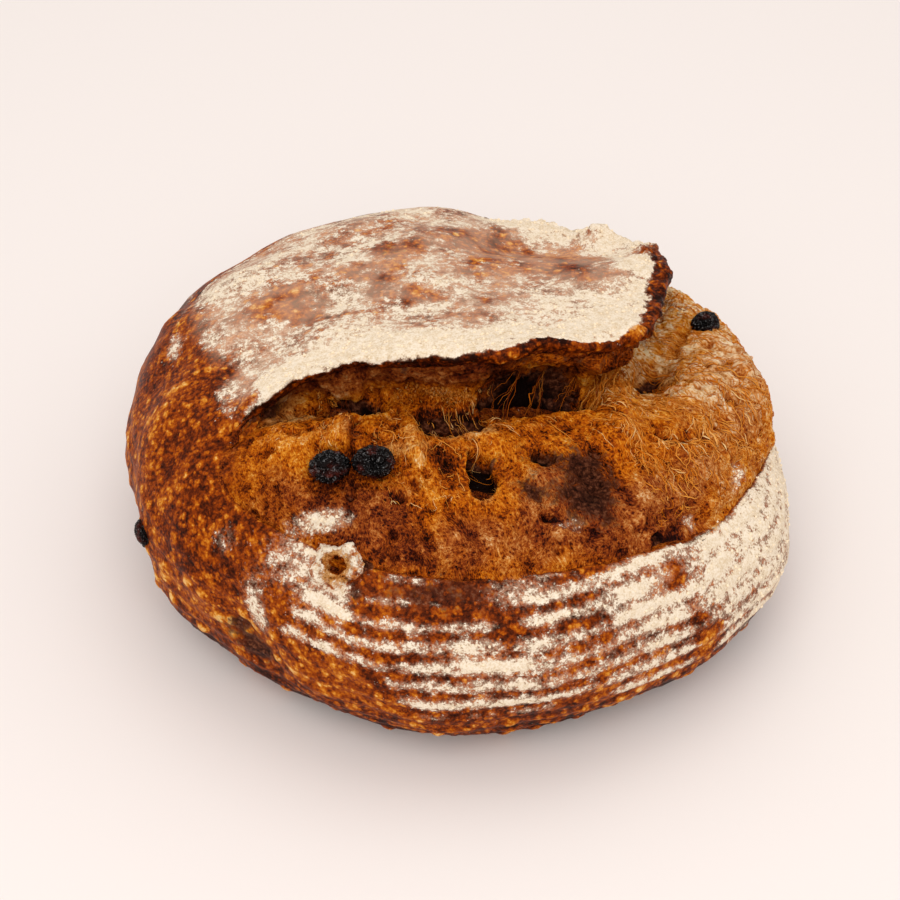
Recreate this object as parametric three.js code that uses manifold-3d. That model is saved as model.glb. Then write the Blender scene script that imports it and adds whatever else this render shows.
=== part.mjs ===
// A crusty round loaf that was slashed once before baking. The crust behind the
// slash has lifted into a thick flap, and the torn crumb shows under it, with
// dried fruit set in crumb and crust.
//
// Frame: millimetres, +Z up, flat base at z = 0, centred in plan on the origin.
// The flap is joined on at the back, and the opening faces -Y.
//
// The loaf is one closed sheet. At each azimuth about the crown a profile runs from
// the crown out over the flap, round its rim, back down under it, out across the
// torn crumb to the edge of the lower crust, then down the side to the base.

import * as THREE from 'three';
import Module from 'manifold-3d';

const DEG = Math.PI / 180;

// The closed loaf

const OUTLINE_RADII = [118, 117, 112, 123, 121, 119, 117, 118, 116, 121, 121, 126];
const WIDEST_HEIGHT = 38;
const CROWN_HEIGHT = 98.5;
const FULLNESS = 2.36;
const FOOT_SHARE = 0.73;
const CROWN_LEAN = -12.5;
const CROWN_TILT = -1.3;
const CROWN_CENTRE = [-14, 44];
const CENTRING_SHIFT = [-0.79, -1.26];

// The opening: azimuths of its two ends, then the polar angle of the flap's lip and
// of the lower crust's edge, each as pairs of azimuth and angle in degrees

const OPENING = [222.5, 440];
const OPENING_RISE = 95;
const OPENING_FALL = 35;
const LIP = [
  [222, 43.5], [227, 37], [233, 32.5], [240, 29], [257, 24.5], [275, 24], [304, 27.5],
  [318, 29], [330, 34], [355, 40.5], [380, 47], [398, 55], [440, 50],
];
const CUT = [
  [222, 51.5], [231, 54.5], [266, 57.5], [305, 62], [335, 67],
  [357, 77], [371, 79], [384, 74], [412, 58.5], [440, 53.5],
];
const HEM_ANGLE = 1.3;

// The lifted flap

const FLAP_LIFT = 14;
const FLAP_CURL = 1.7;
const FLAP_REACH = 1.5;
const RIM_RADIUS = 2;
const RIM_SWELL = { height: 1.2, azimuth: 372, spread: 24 };
const UNDERCUT = 4;
const LIP_WAVES = [
  { count: 19, angle: 0.45, phase: 0.4 },
  { count: 31, angle: 0.35, phase: 2.1 },
  { count: 47, angle: 0.3, phase: 4.4 },
];

// The torn crumb

const VALLEY_DEPTH = 12;
const VALLEY_SHARE = 0.42;
const CRUMB_BULGE = 2.5;
const CRUMB_SWELL = { height: 1.5, azimuth: 360, spread: 24 };
const EDGE_STEP = 1.2;

// Uneven skin: waves of a few millimetres that cross the loaf in fixed directions

const SKIN_HEIGHT = 0.5;
const SKIN_WAVES = [
  { length: 84, heading: 20, climb: 10 },
  { length: 61, heading: 95, climb: -25 },
  { length: 47, heading: 160, climb: 40 },
  { length: 38, heading: 250, climb: -5 },
  { length: 29, heading: 310, climb: 30 },
];
const FLAT_MARGIN = 15;

// Knobs (rise above 0) and hollows (rise below 0), each along a line from one end
// to the other and falling away over its radius

const RELIEF = [
  // hollows at the foot of the flap
  { from: [-64, -27, 85], to: [-52, -26, 86], radius: 5, rise: -4 },
  { from: [-38, -30, 86], to: [-35, -31, 86], radius: 5, rise: -5 },
  { from: [-7, -41, 89], to: [3, -40, 89], radius: 6, rise: -5 },
  { from: [20, -26, 84], to: [34, -23, 84], radius: 8, rise: -8 },
  { from: [66, 4, 76], to: [72, 3, 75], radius: 8, rise: -3 },
  // bubbles and burnt pockets in the open crumb
  { from: [9, -71, 93], to: [10, -60, 93], radius: 5, rise: -6 },
  { from: [43, -70, 88], to: [45, -64, 88], radius: 8, rise: -3 },
  { from: [27, -60, 92], to: [29, -58, 92], radius: 5, rise: -3 },
  { from: [75, -74, 72], to: [80, -70, 72], radius: 5, rise: -2 },
  // walls of crumb that cross the opening
  { from: [56, -10, 78], to: [54, -48, 89], radius: 6, rise: 5 },
  { from: [-37, -34, 86], to: [-36, -56, 92], radius: 4, rise: 3 },
  { from: [-16, -40, 88], to: [-14, -64, 93], radius: 4, rise: 3 },
  // nuts under the flap and at the right-hand edge
  { from: [-40, -20, 88], to: [-36, -21, 88], radius: 6, rise: 4 },
  { from: [102, 0, 73], to: [102, 11, 74], radius: 9, rise: 4 },
  { from: [108, -14, 62], to: [108, -4, 66], radius: 10, rise: 3 },
  // crags along the back edge of the flap, and the dip before them
  { from: [22, 66, 99], to: [46, 70, 96], radius: 22, rise: -6 },
  { from: [53, 74, 90], to: [54, 77, 86], radius: 6, rise: 4 },
  { from: [70, 59, 89], to: [72, 61, 88], radius: 6, rise: 3 },
  // a crease and a knob on the left shoulder
  { from: [-104, 31, 75], to: [-103, 34, 75], radius: 6, rise: 2 },
  { from: [-72, -92, 40], to: [-64, -97, 30], radius: 10, rise: -1.5 },
];

// Dried fruit: place of the centre, half sizes, turn about +Z in degrees

const FRUIT = [
  { name: 'raisin_left', centre: [-41, -67.5, 93.5], half: [6.2, 5.6, 5], turn: 15 },
  { name: 'raisin_right', centre: [-26.5, -67, 95], half: [7.2, 5.8, 5], turn: -10 },
  { name: 'raisin_back', centre: [91.5, 30.6, 76], half: [6, 5, 4.5], turn: 40 },
  { name: 'raisin_side', centre: [-108, -51, 48], half: [4, 5.5, 5.5], turn: 25 },
];
const FRUIT_DETAIL = 3;
const WRINKLE_DEPTH = 0.1;
const FRUIT_GAP = 0.3;

// Grid of the sheet

const COLUMNS_OPEN = 76;
const COLUMNS_CLOSED = 20;
const ROWS = { top: 11, rim: 3, face: 4, crumb: 16, side: 12 };

const CRUST_COLOUR = 0xa8642f;
const FRUIT_COLOUR = 0x251519;

/** A smooth step from 0 to 1 as the value goes from 0 to 1. */
function smooth(value) {
  const x = Math.min(Math.max(value, 0), 1);
  return x * x * (3 - 2 * x);
}

/** A rounded bump of azimuth, worked the short way round. */
function azimuthBump(swell, degrees) {
  const away = ((((degrees - swell.azimuth + 180) % 360) + 360) % 360) - 180;
  return swell.height * Math.exp(-((away / swell.spread) ** 2));
}

/** Plan radius of the loaf: a smooth closed curve through the outline radii. */
function outlineRadius(angle) {
  const count = OUTLINE_RADII.length;
  let radius = 0;
  for (let k = 0; k < count; k += 1) {
    const away = angle - (2 * Math.PI * k) / count;
    let weight = 1 + Math.cos((count / 2) * away);
    for (let j = 1; j < count / 2; j += 1) {
      weight += 2 * Math.cos(j * away);
    }
    radius += (OUTLINE_RADII[k] * weight) / count;
  }
  return radius;
}

/** A smooth curve through pairs of azimuth and angle, closed round the back. */
function curveThrough(knots, degrees) {
  const last = knots.length - 1;
  const before = [knots[last][0] - 360, knots[last][1]];
  const after = [knots[0][0] + 360, knots[0][1]];
  const all = [before, ...knots, after];
  const turn = (((degrees - knots[0][0]) % 360) + 360) % 360;
  const at = turn + knots[0][0];
  let i = 1;
  while (i < knots.length && at >= all[i + 1][0]) {
    i += 1;
  }
  const slope = (k) => {
    const inside = k > 1 && k < knots.length;
    const run = all[Math.min(k + 1, knots.length + 1)][0] - all[k - 1][0];
    const gain = all[Math.min(k + 1, knots.length + 1)][1] - all[k - 1][1];
    return inside ? gain / run : 0;
  };
  const span = all[i + 1][0] - all[i][0];
  const t = (at - all[i][0]) / span;
  const start = (2 * t ** 3 - 3 * t ** 2 + 1) * all[i][1];
  const end = (3 * t ** 2 - 2 * t ** 3) * all[i + 1][1];
  const leave = (t ** 3 - 2 * t ** 2 + t) * span * slope(i);
  const arrive = (t ** 3 - t ** 2) * span * slope(i + 1);
  return start + end + leave + arrive;
}

/** Point and outward normal of the closed loaf, at angles in radians. */
function dome(azimuth, polar) {
  const isUpper = polar <= Math.PI / 2;
  const upper = Math.min(polar, Math.PI / 2);
  const lower = Math.max(polar - Math.PI / 2, 0);
  const share = isUpper
    ? Math.sin(upper) ** (2 / FULLNESS)
    : FOOT_SHARE + (1 - FOOT_SHARE) * Math.cos(lower);
  const pull = isUpper ? Math.cos(upper) ** 4 : 0;
  const radius = share * outlineRadius(azimuth);
  const x = radius * Math.cos(azimuth) + CROWN_CENTRE[0] * pull;
  const y = radius * Math.sin(azimuth) + CROWN_CENTRE[1] * pull;
  const away = Math.hypot(x, y) + 1e-9;
  const rim = outlineRadius(Math.atan2(y, x));
  const q = Math.min(away / rim, 1);
  const fall = (1 - q ** FULLNESS) ** (1 / FULLNESS);
  const z = isUpper
    ? WIDEST_HEIGHT + (CROWN_HEIGHT - WIDEST_HEIGHT) * fall
    : WIDEST_HEIGHT * (1 - Math.sin(lower));
  const slopeOut = q ** (FULLNESS - 1) / outlineRadius(azimuth);
  const slopeUp = isUpper
    ? fall / (CROWN_HEIGHT - WIDEST_HEIGHT)
    : (-0.9 * Math.sin(lower)) / WIDEST_HEIGHT;
  const normal = new THREE.Vector3((slopeOut * x) / away, (slopeOut * y) / away, slopeUp);
  const height = Math.max((z - WIDEST_HEIGHT) / (CROWN_HEIGHT - WIDEST_HEIGHT), 0);
  const leaning = x + CROWN_LEAN * height;
  const point = new THREE.Vector3(leaning, y, z + (CROWN_TILT * height * leaning) / 100);
  return { point, normal: normal.normalize() };
}

/** How far the opening has opened at an azimuth, from 0 to 1. */
function openness(degrees) {
  const along = (((degrees - OPENING[0]) % 360) + 360) % 360;
  const span = OPENING[1] - OPENING[0];
  if (along >= span) {
    return 0;
  }
  return Math.min(along / OPENING_RISE, 1) ** 0.55 * smooth((span - along) / OPENING_FALL);
}

/** The sheet's points at one azimuth, from beside the crown down to the base. */
function profile(degrees) {
  const azimuth = degrees * DEG;
  const up = new THREE.Vector3(0, 0, 1);
  const out = new THREE.Vector3(Math.cos(azimuth), Math.sin(azimuth), 0);
  const open = openness(degrees);
  const torn = smooth(open / 0.35);
  const lift = FLAP_LIFT * open;
  const rim = (RIM_RADIUS + azimuthBump(RIM_SWELL, degrees)) * torn;
  const hem = HEM_ANGLE * DEG;
  const cutAngle = curveThrough(CUT, degrees) * DEG;
  const lipCourse = curveThrough(LIP, degrees) * DEG;
  let ripple = 0;
  for (const wave of LIP_WAVES) {
    ripple += wave.angle * DEG * torn * Math.sin(wave.count * azimuth + wave.phase);
  }
  const lipAngle = lipCourse + ripple;
  const root = dome(azimuth, lipAngle);
  const lip = root.point.clone().addScaledVector(up, lift);
  lip.addScaledVector(out, FLAP_REACH * torn);
  const underLip = lip.clone().addScaledVector(up, -2 * rim);
  const valley = root.point.clone().addScaledVector(root.normal, -VALLEY_DEPTH * torn);
  valley.addScaledVector(out, -UNDERCUT * torn);
  const bend = valley.clone().addScaledVector(out, -torn);
  bend.z = 0.45 * underLip.z + 0.55 * valley.z;
  const points = [];
  for (let i = 1; i <= ROWS.top; i += 1) {
    const share = i / ROWS.top;
    const top = dome(azimuth, lipCourse * share + ripple * share ** 6).point;
    top.addScaledVector(up, lift * share ** FLAP_CURL);
    points.push(top.addScaledVector(out, FLAP_REACH * torn * share ** 6));
  }
  for (let i = 1; i <= ROWS.rim; i += 1) {
    const share = i / ROWS.rim;
    const closed = dome(azimuth, lipAngle + hem * share).point;
    const rounded = lip.clone().addScaledVector(out, rim * Math.sin(Math.PI * share));
    rounded.addScaledVector(up, rim * (Math.cos(Math.PI * share) - 1));
    points.push(closed.lerp(rounded, torn));
  }
  for (let i = 1; i <= ROWS.face; i += 1) {
    const share = i / ROWS.face;
    const closed = dome(azimuth, lipAngle + hem * (1 + share)).point;
    const under = underLip.clone().multiplyScalar((1 - share) ** 2);
    under.addScaledVector(bend, 2 * share * (1 - share));
    under.addScaledVector(valley, share ** 2);
    points.push(closed.lerp(under, torn));
  }
  const crumbStart = lipAngle + 2 * hem * (1 - torn);
  const bulge = (CRUMB_BULGE + azimuthBump(CRUMB_SWELL, degrees)) * torn;
  for (let i = 1; i <= ROWS.crumb; i += 1) {
    const share = i / ROWS.crumb;
    const crumb = dome(azimuth, crumbStart + (cutAngle - crumbStart) * share);
    const rise = bulge * Math.sin(Math.PI * Math.min(Math.max((share - 0.15) / 0.85, 0), 1));
    const sink = VALLEY_DEPTH * torn * (1 - smooth(share / VALLEY_SHARE));
    const step = EDGE_STEP * torn * smooth((share - 0.9) / 0.1);
    const point = crumb.point.addScaledVector(crumb.normal, rise - sink - step);
    points.push(point.addScaledVector(out, -UNDERCUT * torn * (1 - share) ** 5));
  }
  for (let i = 1; i <= ROWS.side; i += 1) {
    const share = i / ROWS.side;
    points.push(dome(azimuth, cutAngle + (Math.PI - cutAngle) * share).point);
  }
  return points;
}

/** Height of the uneven skin over a point. */
function skinHeight(point) {
  let height = 0;
  SKIN_WAVES.forEach((wave, index) => {
    const flat = Math.cos(wave.climb * DEG);
    const along =
      point.x * flat * Math.cos(wave.heading * DEG) +
      point.y * flat * Math.sin(wave.heading * DEG) +
      point.z * Math.sin(wave.climb * DEG);
    height += SKIN_HEIGHT * Math.sin((2 * Math.PI * along) / wave.length + 2 * index);
  });
  return height;
}

/** Height of the knobs and hollows over a point. */
function reliefHeight(point) {
  let height = 0;
  for (const feature of RELIEF) {
    const line = new THREE.Line3(
      new THREE.Vector3(...feature.from),
      new THREE.Vector3(...feature.to),
    );
    const nearest = line.closestPointToPoint(point, true, new THREE.Vector3());
    const away = nearest.distanceTo(point) / feature.radius;
    height += feature.rise * Math.exp(-(away ** 2));
  }
  return height;
}

/** Azimuths of the columns in degrees, closer together across the opening. */
function columnAzimuths() {
  const open = OPENING[1] - OPENING[0];
  const azimuths = [];
  for (let j = 0; j < COLUMNS_OPEN; j += 1) {
    azimuths.push(OPENING[0] + (open * j) / COLUMNS_OPEN);
  }
  for (let j = 0; j < COLUMNS_CLOSED; j += 1) {
    azimuths.push(OPENING[1] + ((360 - open) * j) / COLUMNS_CLOSED);
  }
  return azimuths;
}

/** Pushes each point of the grid out along its own normal by skin and relief. */
function roughened(columns, crown) {
  return columns.map((column, j) => {
    const left = columns[(j + columns.length - 1) % columns.length];
    const right = columns[(j + 1) % columns.length];
    return column.map((point, i) => {
      const above = i > 0 ? column[i - 1] : crown;
      const below = column[Math.min(i + 1, column.length - 1)];
      const down = below.clone().sub(above);
      const across = right[i].clone().sub(left[i]);
      const normal = down.cross(across).normalize();
      const height = (skinHeight(point) + reliefHeight(point)) * smooth(point.z / FLAT_MARGIN);
      return point.clone().addScaledVector(normal, height);
    });
  });
}

/** A solid made of points and triangles that face outwards. */
function solidFrom(wasm, points, triangles) {
  const vertProperties = new Float32Array(points.flatMap((p) => [p.x, p.y, p.z]));
  const triVerts = new Uint32Array(triangles.flat());
  return new wasm.Manifold(new wasm.Mesh({ numProp: 3, vertProperties, triVerts }));
}

/** The whole loaf as a solid, before the fruit is set in it. */
function loafSolid(wasm) {
  const crown = dome(0, 0).point;
  crown.z += skinHeight(crown);
  const columns = roughened(columnAzimuths().map(profile), crown);
  const rows = columns[0].length;
  const points = columns.flat();
  const at = (j, i) => (j % columns.length) * rows + i;
  const crownIndex = points.push(crown) - 1;
  const baseIndex = points.push(new THREE.Vector3(0, 0, 0)) - 1;
  const triangles = [];
  for (let j = 0; j < columns.length; j += 1) {
    triangles.push([crownIndex, at(j, 0), at(j + 1, 0)]);
    triangles.push([baseIndex, at(j + 1, rows - 1), at(j, rows - 1)]);
    for (let i = 0; i < rows - 1; i += 1) {
      triangles.push([at(j, i), at(j, i + 1), at(j + 1, i + 1)]);
      triangles.push([at(j, i), at(j + 1, i + 1), at(j + 1, i)]);
    }
  }
  return solidFrom(wasm, points, triangles);
}

/** One wrinkled dried fruit as a solid, made larger all round by a gap. */
function fruitSolid(wasm, fruit, index, gap) {
  const ball = new THREE.IcosahedronGeometry(1, FRUIT_DETAIL);
  const corners = ball.getAttribute('position');
  const places = new Map();
  const points = [];
  const order = [];
  for (let i = 0; i < corners.count; i += 1) {
    const way = new THREE.Vector3().fromBufferAttribute(corners, i).normalize();
    const key = way.toArray().map((value) => value.toFixed(4)).join(' ');
    if (!places.has(key)) {
      const ridge = Math.sin(6 * way.x + 4 * way.z + index) + Math.sin(7 * way.y - 5 * way.x);
      const size = 1 - WRINKLE_DEPTH * Math.abs(ridge);
      const point = way.clone().multiplyScalar(size);
      point.multiply(new THREE.Vector3(...fruit.half)).addScaledVector(way, gap);
      point.applyAxisAngle(new THREE.Vector3(0, 0, 1), fruit.turn * DEG);
      places.set(key, points.push(point.add(new THREE.Vector3(...fruit.centre))) - 1);
    }
    order.push(places.get(key));
  }
  const triangles = [];
  for (let i = 0; i < order.length; i += 3) {
    triangles.push(order.slice(i, i + 3));
  }
  return solidFrom(wasm, points, triangles);
}

/** A named mesh with flat facets, made from a solid. */
function meshFrom(solid, name, material) {
  const source = solid.getMesh();
  const geometry = new THREE.BufferGeometry();
  const positions = new THREE.BufferAttribute(new Float32Array(source.vertProperties), 3);
  geometry.setAttribute('position', positions);
  geometry.setIndex(new THREE.BufferAttribute(new Uint32Array(source.triVerts), 1));
  geometry.translate(CENTRING_SHIFT[0], CENTRING_SHIFT[1], 0);
  geometry.computeVertexNormals();
  const mesh = new THREE.Mesh(geometry, material);
  mesh.name = name;
  return mesh;
}

const wasm = await Module();
wasm.setup();

const crust = new THREE.MeshStandardMaterial({ color: CRUST_COLOUR, roughness: 0.85 });
crust.name = 'crust';
const raisin = new THREE.MeshStandardMaterial({ color: FRUIT_COLOUR, roughness: 0.5 });
raisin.name = 'raisin';

const part = new THREE.Group();
part.name = 'sourdough_loaf';
let loaf = loafSolid(wasm);
FRUIT.forEach((fruit, index) => {
  loaf = loaf.subtract(fruitSolid(wasm, fruit, index, FRUIT_GAP));
  part.add(meshFrom(fruitSolid(wasm, fruit, index, 0), fruit.name, raisin));
});
part.add(meshFrom(loaf, 'loaf', crust));

export default part;
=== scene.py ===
"""A crusty sourdough loaf with a lifted flap, torn crumb and dried fruit.

The form is worked out in millimetres in the part's own frame and turned to metres
when a mesh is made. It is the same sheet as the part's solid: at each azimuth about
the crown a profile runs over the flap, round its rim, under it, across the torn
crumb, down the side and in under the base. Fine relief, fibres and flour are added
to that sheet here.
"""

import logging
import math
from dataclasses import dataclass
from enum import IntEnum

import bpy
import numpy as np
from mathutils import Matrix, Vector

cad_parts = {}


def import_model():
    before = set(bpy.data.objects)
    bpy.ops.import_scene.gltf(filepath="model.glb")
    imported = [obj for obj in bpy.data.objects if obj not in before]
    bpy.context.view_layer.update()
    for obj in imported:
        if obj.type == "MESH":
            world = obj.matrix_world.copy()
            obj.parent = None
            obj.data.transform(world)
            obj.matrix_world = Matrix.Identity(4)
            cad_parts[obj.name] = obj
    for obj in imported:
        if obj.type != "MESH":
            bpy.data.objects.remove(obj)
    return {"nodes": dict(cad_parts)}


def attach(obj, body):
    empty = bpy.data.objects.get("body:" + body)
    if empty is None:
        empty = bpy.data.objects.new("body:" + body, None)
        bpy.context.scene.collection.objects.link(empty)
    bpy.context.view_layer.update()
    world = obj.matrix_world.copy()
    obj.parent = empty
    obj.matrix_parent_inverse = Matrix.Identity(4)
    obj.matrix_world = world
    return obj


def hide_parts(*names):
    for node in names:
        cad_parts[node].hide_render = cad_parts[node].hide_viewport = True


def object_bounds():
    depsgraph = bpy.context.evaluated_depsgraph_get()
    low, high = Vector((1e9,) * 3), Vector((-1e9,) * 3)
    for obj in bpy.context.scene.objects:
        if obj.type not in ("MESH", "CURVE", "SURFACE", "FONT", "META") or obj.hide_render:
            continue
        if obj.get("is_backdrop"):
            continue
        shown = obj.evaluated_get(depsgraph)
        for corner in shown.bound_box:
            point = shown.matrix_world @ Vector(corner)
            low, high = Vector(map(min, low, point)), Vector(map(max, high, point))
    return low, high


Array = np.ndarray
Finish = bpy.types.Material
Piece = bpy.types.Object
Socket = bpy.types.NodeSocket
Tree = bpy.types.NodeTree
Place = tuple[float, float, float]
Span = tuple[float, float]
Value = object
LOG = logging.getLogger("loaf")
MM = 0.001
DEG = math.pi / 180


# Numbers and noise


def smooth(value: Array | float) -> Array:
    """Steps softly from 0 to 1 as the value goes from 0 to 1."""
    x = np.clip(value, 0, 1)
    return x * x * (3 - 2 * x)


def lattice_hash(cell: Array, seed: int) -> Array:
    """Scrambles whole-number cells into repeatable numbers.

    Args:
        cell: Whole-number cells, x, y and z in the last axis.
        seed: Picks one of many scrambles.

    Returns:
        One unsigned 32-bit number for each cell.
    """
    parts = cell.astype(np.int64) & 0xFFFFFFFF
    mixed = parts[..., 0] * 374761393 + parts[..., 1] * 668265263 + parts[..., 2] * 2147483647
    mixed = (mixed + seed * 1013904223) & 0xFFFFFFFF
    mixed = ((mixed ^ (mixed >> 13)) * 1274126177) & 0xFFFFFFFF
    mixed = ((mixed ^ (mixed >> 16)) * 2246822519) & 0xFFFFFFFF
    return mixed ^ (mixed >> 15)


def lattice_ways() -> Array:
    """Sixteen directions that the noise chooses among, as unit rows.

    Returns:
        One unit vector a row.
    """
    turns = np.arange(16)
    height = 1 - (2 * turns + 1) / 16
    flat = np.sqrt(1 - height**2)
    angle = turns * math.pi * (3 - math.sqrt(5))
    return np.stack([flat * np.cos(angle), flat * np.sin(angle), height], -1)


WAYS = lattice_ways()


def gradient_noise(points: Array, size: float, seed: int) -> Array:
    """Soft noise of about -1 to 1.

    Args:
        points: Places in millimetres, x, y and z in the last axis.
        size: Width of a lump in millimetres.
        seed: Picks one of many patterns.

    Returns:
        The noise at each point.
    """
    place = points / size
    base = np.floor(place)
    part = place - base
    ease = part**3 * (part * (part * 6 - 15) + 10)
    cell = base.astype(np.int64)
    total = np.zeros(points.shape[:-1])
    for corner in np.ndindex(2, 2, 2):
        step = np.array(corner)
        way = WAYS[lattice_hash(cell + step, seed) & 15]
        reach = ((part - step) * way).sum(-1)
        weight = np.prod(np.where(step == 1, ease, 1 - ease), axis=-1)
        total += weight * reach
    return total * 1.7


def layered_noise(points: Array, size: float, seed: int, layers: int = 3) -> Array:
    """Noise of several sizes added together, each half as large as the last.

    Args:
        points: Places in millimetres.
        size: Width of the largest lumps in millimetres.
        seed: Picks one of many patterns.
        layers: How many sizes are added.

    Returns:
        The noise at each point, about -1 to 1.
    """
    total = np.zeros(points.shape[:-1])
    for layer in range(layers):
        total += gradient_noise(points, size / 2.05**layer, seed + 17 * layer) * 0.5**layer
    return total / 1.5


def nearest_cell(points: Array, size: float, seed: int) -> tuple[Array, Array]:
    """Distance to the nearest of a scatter of centres, as for bubbles.

    Args:
        points: Places in millimetres.
        size: Usual spacing of the centres in millimetres.
        seed: Picks one of many scatters.

    Returns:
        The distance in spacings, and a repeatable number of 0 to 1 for the centre.
    """
    place = points / size
    base = np.floor(place).astype(np.int64)
    best = np.full(points.shape[:-1], 9.0)
    name = np.zeros(points.shape[:-1])
    for offset in np.ndindex(3, 3, 3):
        cell = base + np.array(offset) - 1
        mixed = lattice_hash(cell, seed)
        jitter = np.stack([mixed & 1023, (mixed >> 10) & 1023, (mixed >> 20) & 1023], -1) / 1023
        away = np.linalg.norm(cell + jitter - place, axis=-1)
        closer = away < best
        best = np.where(closer, away, best)
        name = np.where(closer, (lattice_hash(cell, seed + 5) & 1023) / 1023, name)
    return best, name


# The loaf's form


class Zone(IntEnum):
    """Stretches of a profile, in order from the crown to the base."""

    TOP = 0
    RIM = 1
    UNDERSIDE = 2
    CRUMB = 3
    SIDE = 4
    BASE = 5


@dataclass(frozen=True)
class Swell:
    """A rounded gain of so many millimetres about one azimuth."""

    height: float
    azimuth: float
    spread: float

    def at(self, degrees: Array) -> Array:
        """Gain at each azimuth in degrees."""
        away = np.mod(degrees - self.azimuth + 180, 360) - 180
        return self.height * np.exp(-((away / self.spread) ** 2))


@dataclass(frozen=True)
class Feature:
    """A knob or hollow along a line from start to end, in millimetres."""

    start: Place
    end: Place
    radius: float
    rise: float
    edge: float = 2

    def height(self, points: Array) -> Array:
        """Rise of the feature over each point; a greater edge gives steeper walls.

        Args:
            points: Places in millimetres.

        Returns:
            The rise at each point.
        """
        start = np.array(self.start)
        line = np.array(self.end) - start
        share = ((points - start) @ line) / max(float(line @ line), 1e-9)
        nearest = start + np.clip(share, 0, 1)[..., None] * line
        away = np.linalg.norm(points - nearest, axis=-1) / self.radius
        return self.rise * np.exp(-(away**self.edge))

    def height_seen_flat(self, points: Array) -> Array:
        """Rise over each point, with heights counted for less than plan distance.

        Args:
            points: Places in millimetres.

        Returns:
            The rise at each point.
        """
        squash = np.array([1, 1, 0.4])
        start, end = np.array(self.start) * squash, np.array(self.end) * squash
        return Feature(tuple(start), tuple(end), self.radius, self.rise, self.edge).height(points * squash)


RELIEF = (
    # hollows at the foot of the flap
    Feature((-64, -27, 85), (-52, -26, 86), 5, -4), Feature((-38, -30, 86), (-35, -31, 86), 5, -5),
    Feature((-7, -41, 89), (3, -40, 89), 6, -5), Feature((20, -26, 84), (34, -23, 84), 8, -8),
    Feature((66, 4, 76), (72, 3, 75), 8, -3),
    # bubbles and burnt pockets in the open crumb
    Feature((9, -71, 93), (10, -60, 93), 5, -6), Feature((43, -70, 88), (45, -64, 88), 8, -3),
    Feature((27, -60, 92), (29, -58, 92), 5, -3), Feature((75, -74, 72), (80, -70, 72), 5, -2),
    # walls of crumb that cross the opening
    Feature((56, -10, 78), (54, -48, 89), 6, 5), Feature((-37, -34, 86), (-36, -56, 92), 4, 3),
    Feature((-16, -40, 88), (-14, -64, 93), 4, 3),
    # nuts under the flap and at the right-hand edge
    Feature((-40, -20, 88), (-36, -21, 88), 6, 4), Feature((102, 0, 73), (102, 11, 74), 9, 4),
    Feature((108, -14, 62), (108, -4, 66), 10, 3),
    # crags along the back edge of the flap, and the dip before them
    Feature((22, 66, 99), (46, 70, 96), 22, -6), Feature((53, 74, 90), (54, 77, 86), 6, 4),
    Feature((70, 59, 89), (72, 61, 88), 6, 3),
    # a crease and a knob on the left shoulder
    Feature((-104, 31, 75), (-103, 34, 75), 6, 2), Feature((-72, -92, 40), (-64, -97, 30), 10, -1.5),
)

Knots = tuple[Span, ...]


def curve_through(knots: Knots, degrees: Array) -> Array:
    """A smooth curve through pairs of azimuth and angle, closed round the back.

    Args:
        knots: Pairs of azimuth and angle in degrees, azimuths rising.
        degrees: Azimuths to read the curve at.

    Returns:
        The angle in degrees at each azimuth.
    """
    at = np.array([knots[-1][0] - 360] + [k[0] for k in knots] + [knots[0][0] + 360])
    value = np.array([knots[-1][1]] + [k[1] for k in knots] + [knots[0][1]])
    slope = np.zeros(len(at))
    slope[2:-2] = (value[3:-1] - value[1:-3]) / (at[3:-1] - at[1:-3])
    turn = np.mod(degrees - at[1], 360) + at[1]
    i = np.clip(np.searchsorted(at, turn, side="right") - 1, 0, len(at) - 2)
    span = at[i + 1] - at[i]
    t = (turn - at[i]) / span
    ends = (2 * t**3 - 3 * t**2 + 1) * value[i] + (3 * t**2 - 2 * t**3) * value[i + 1]
    leave = (t**3 - 2 * t**2 + t) * span * slope[i]
    return ends + leave + (t**3 - t**2) * span * slope[i + 1]


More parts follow.
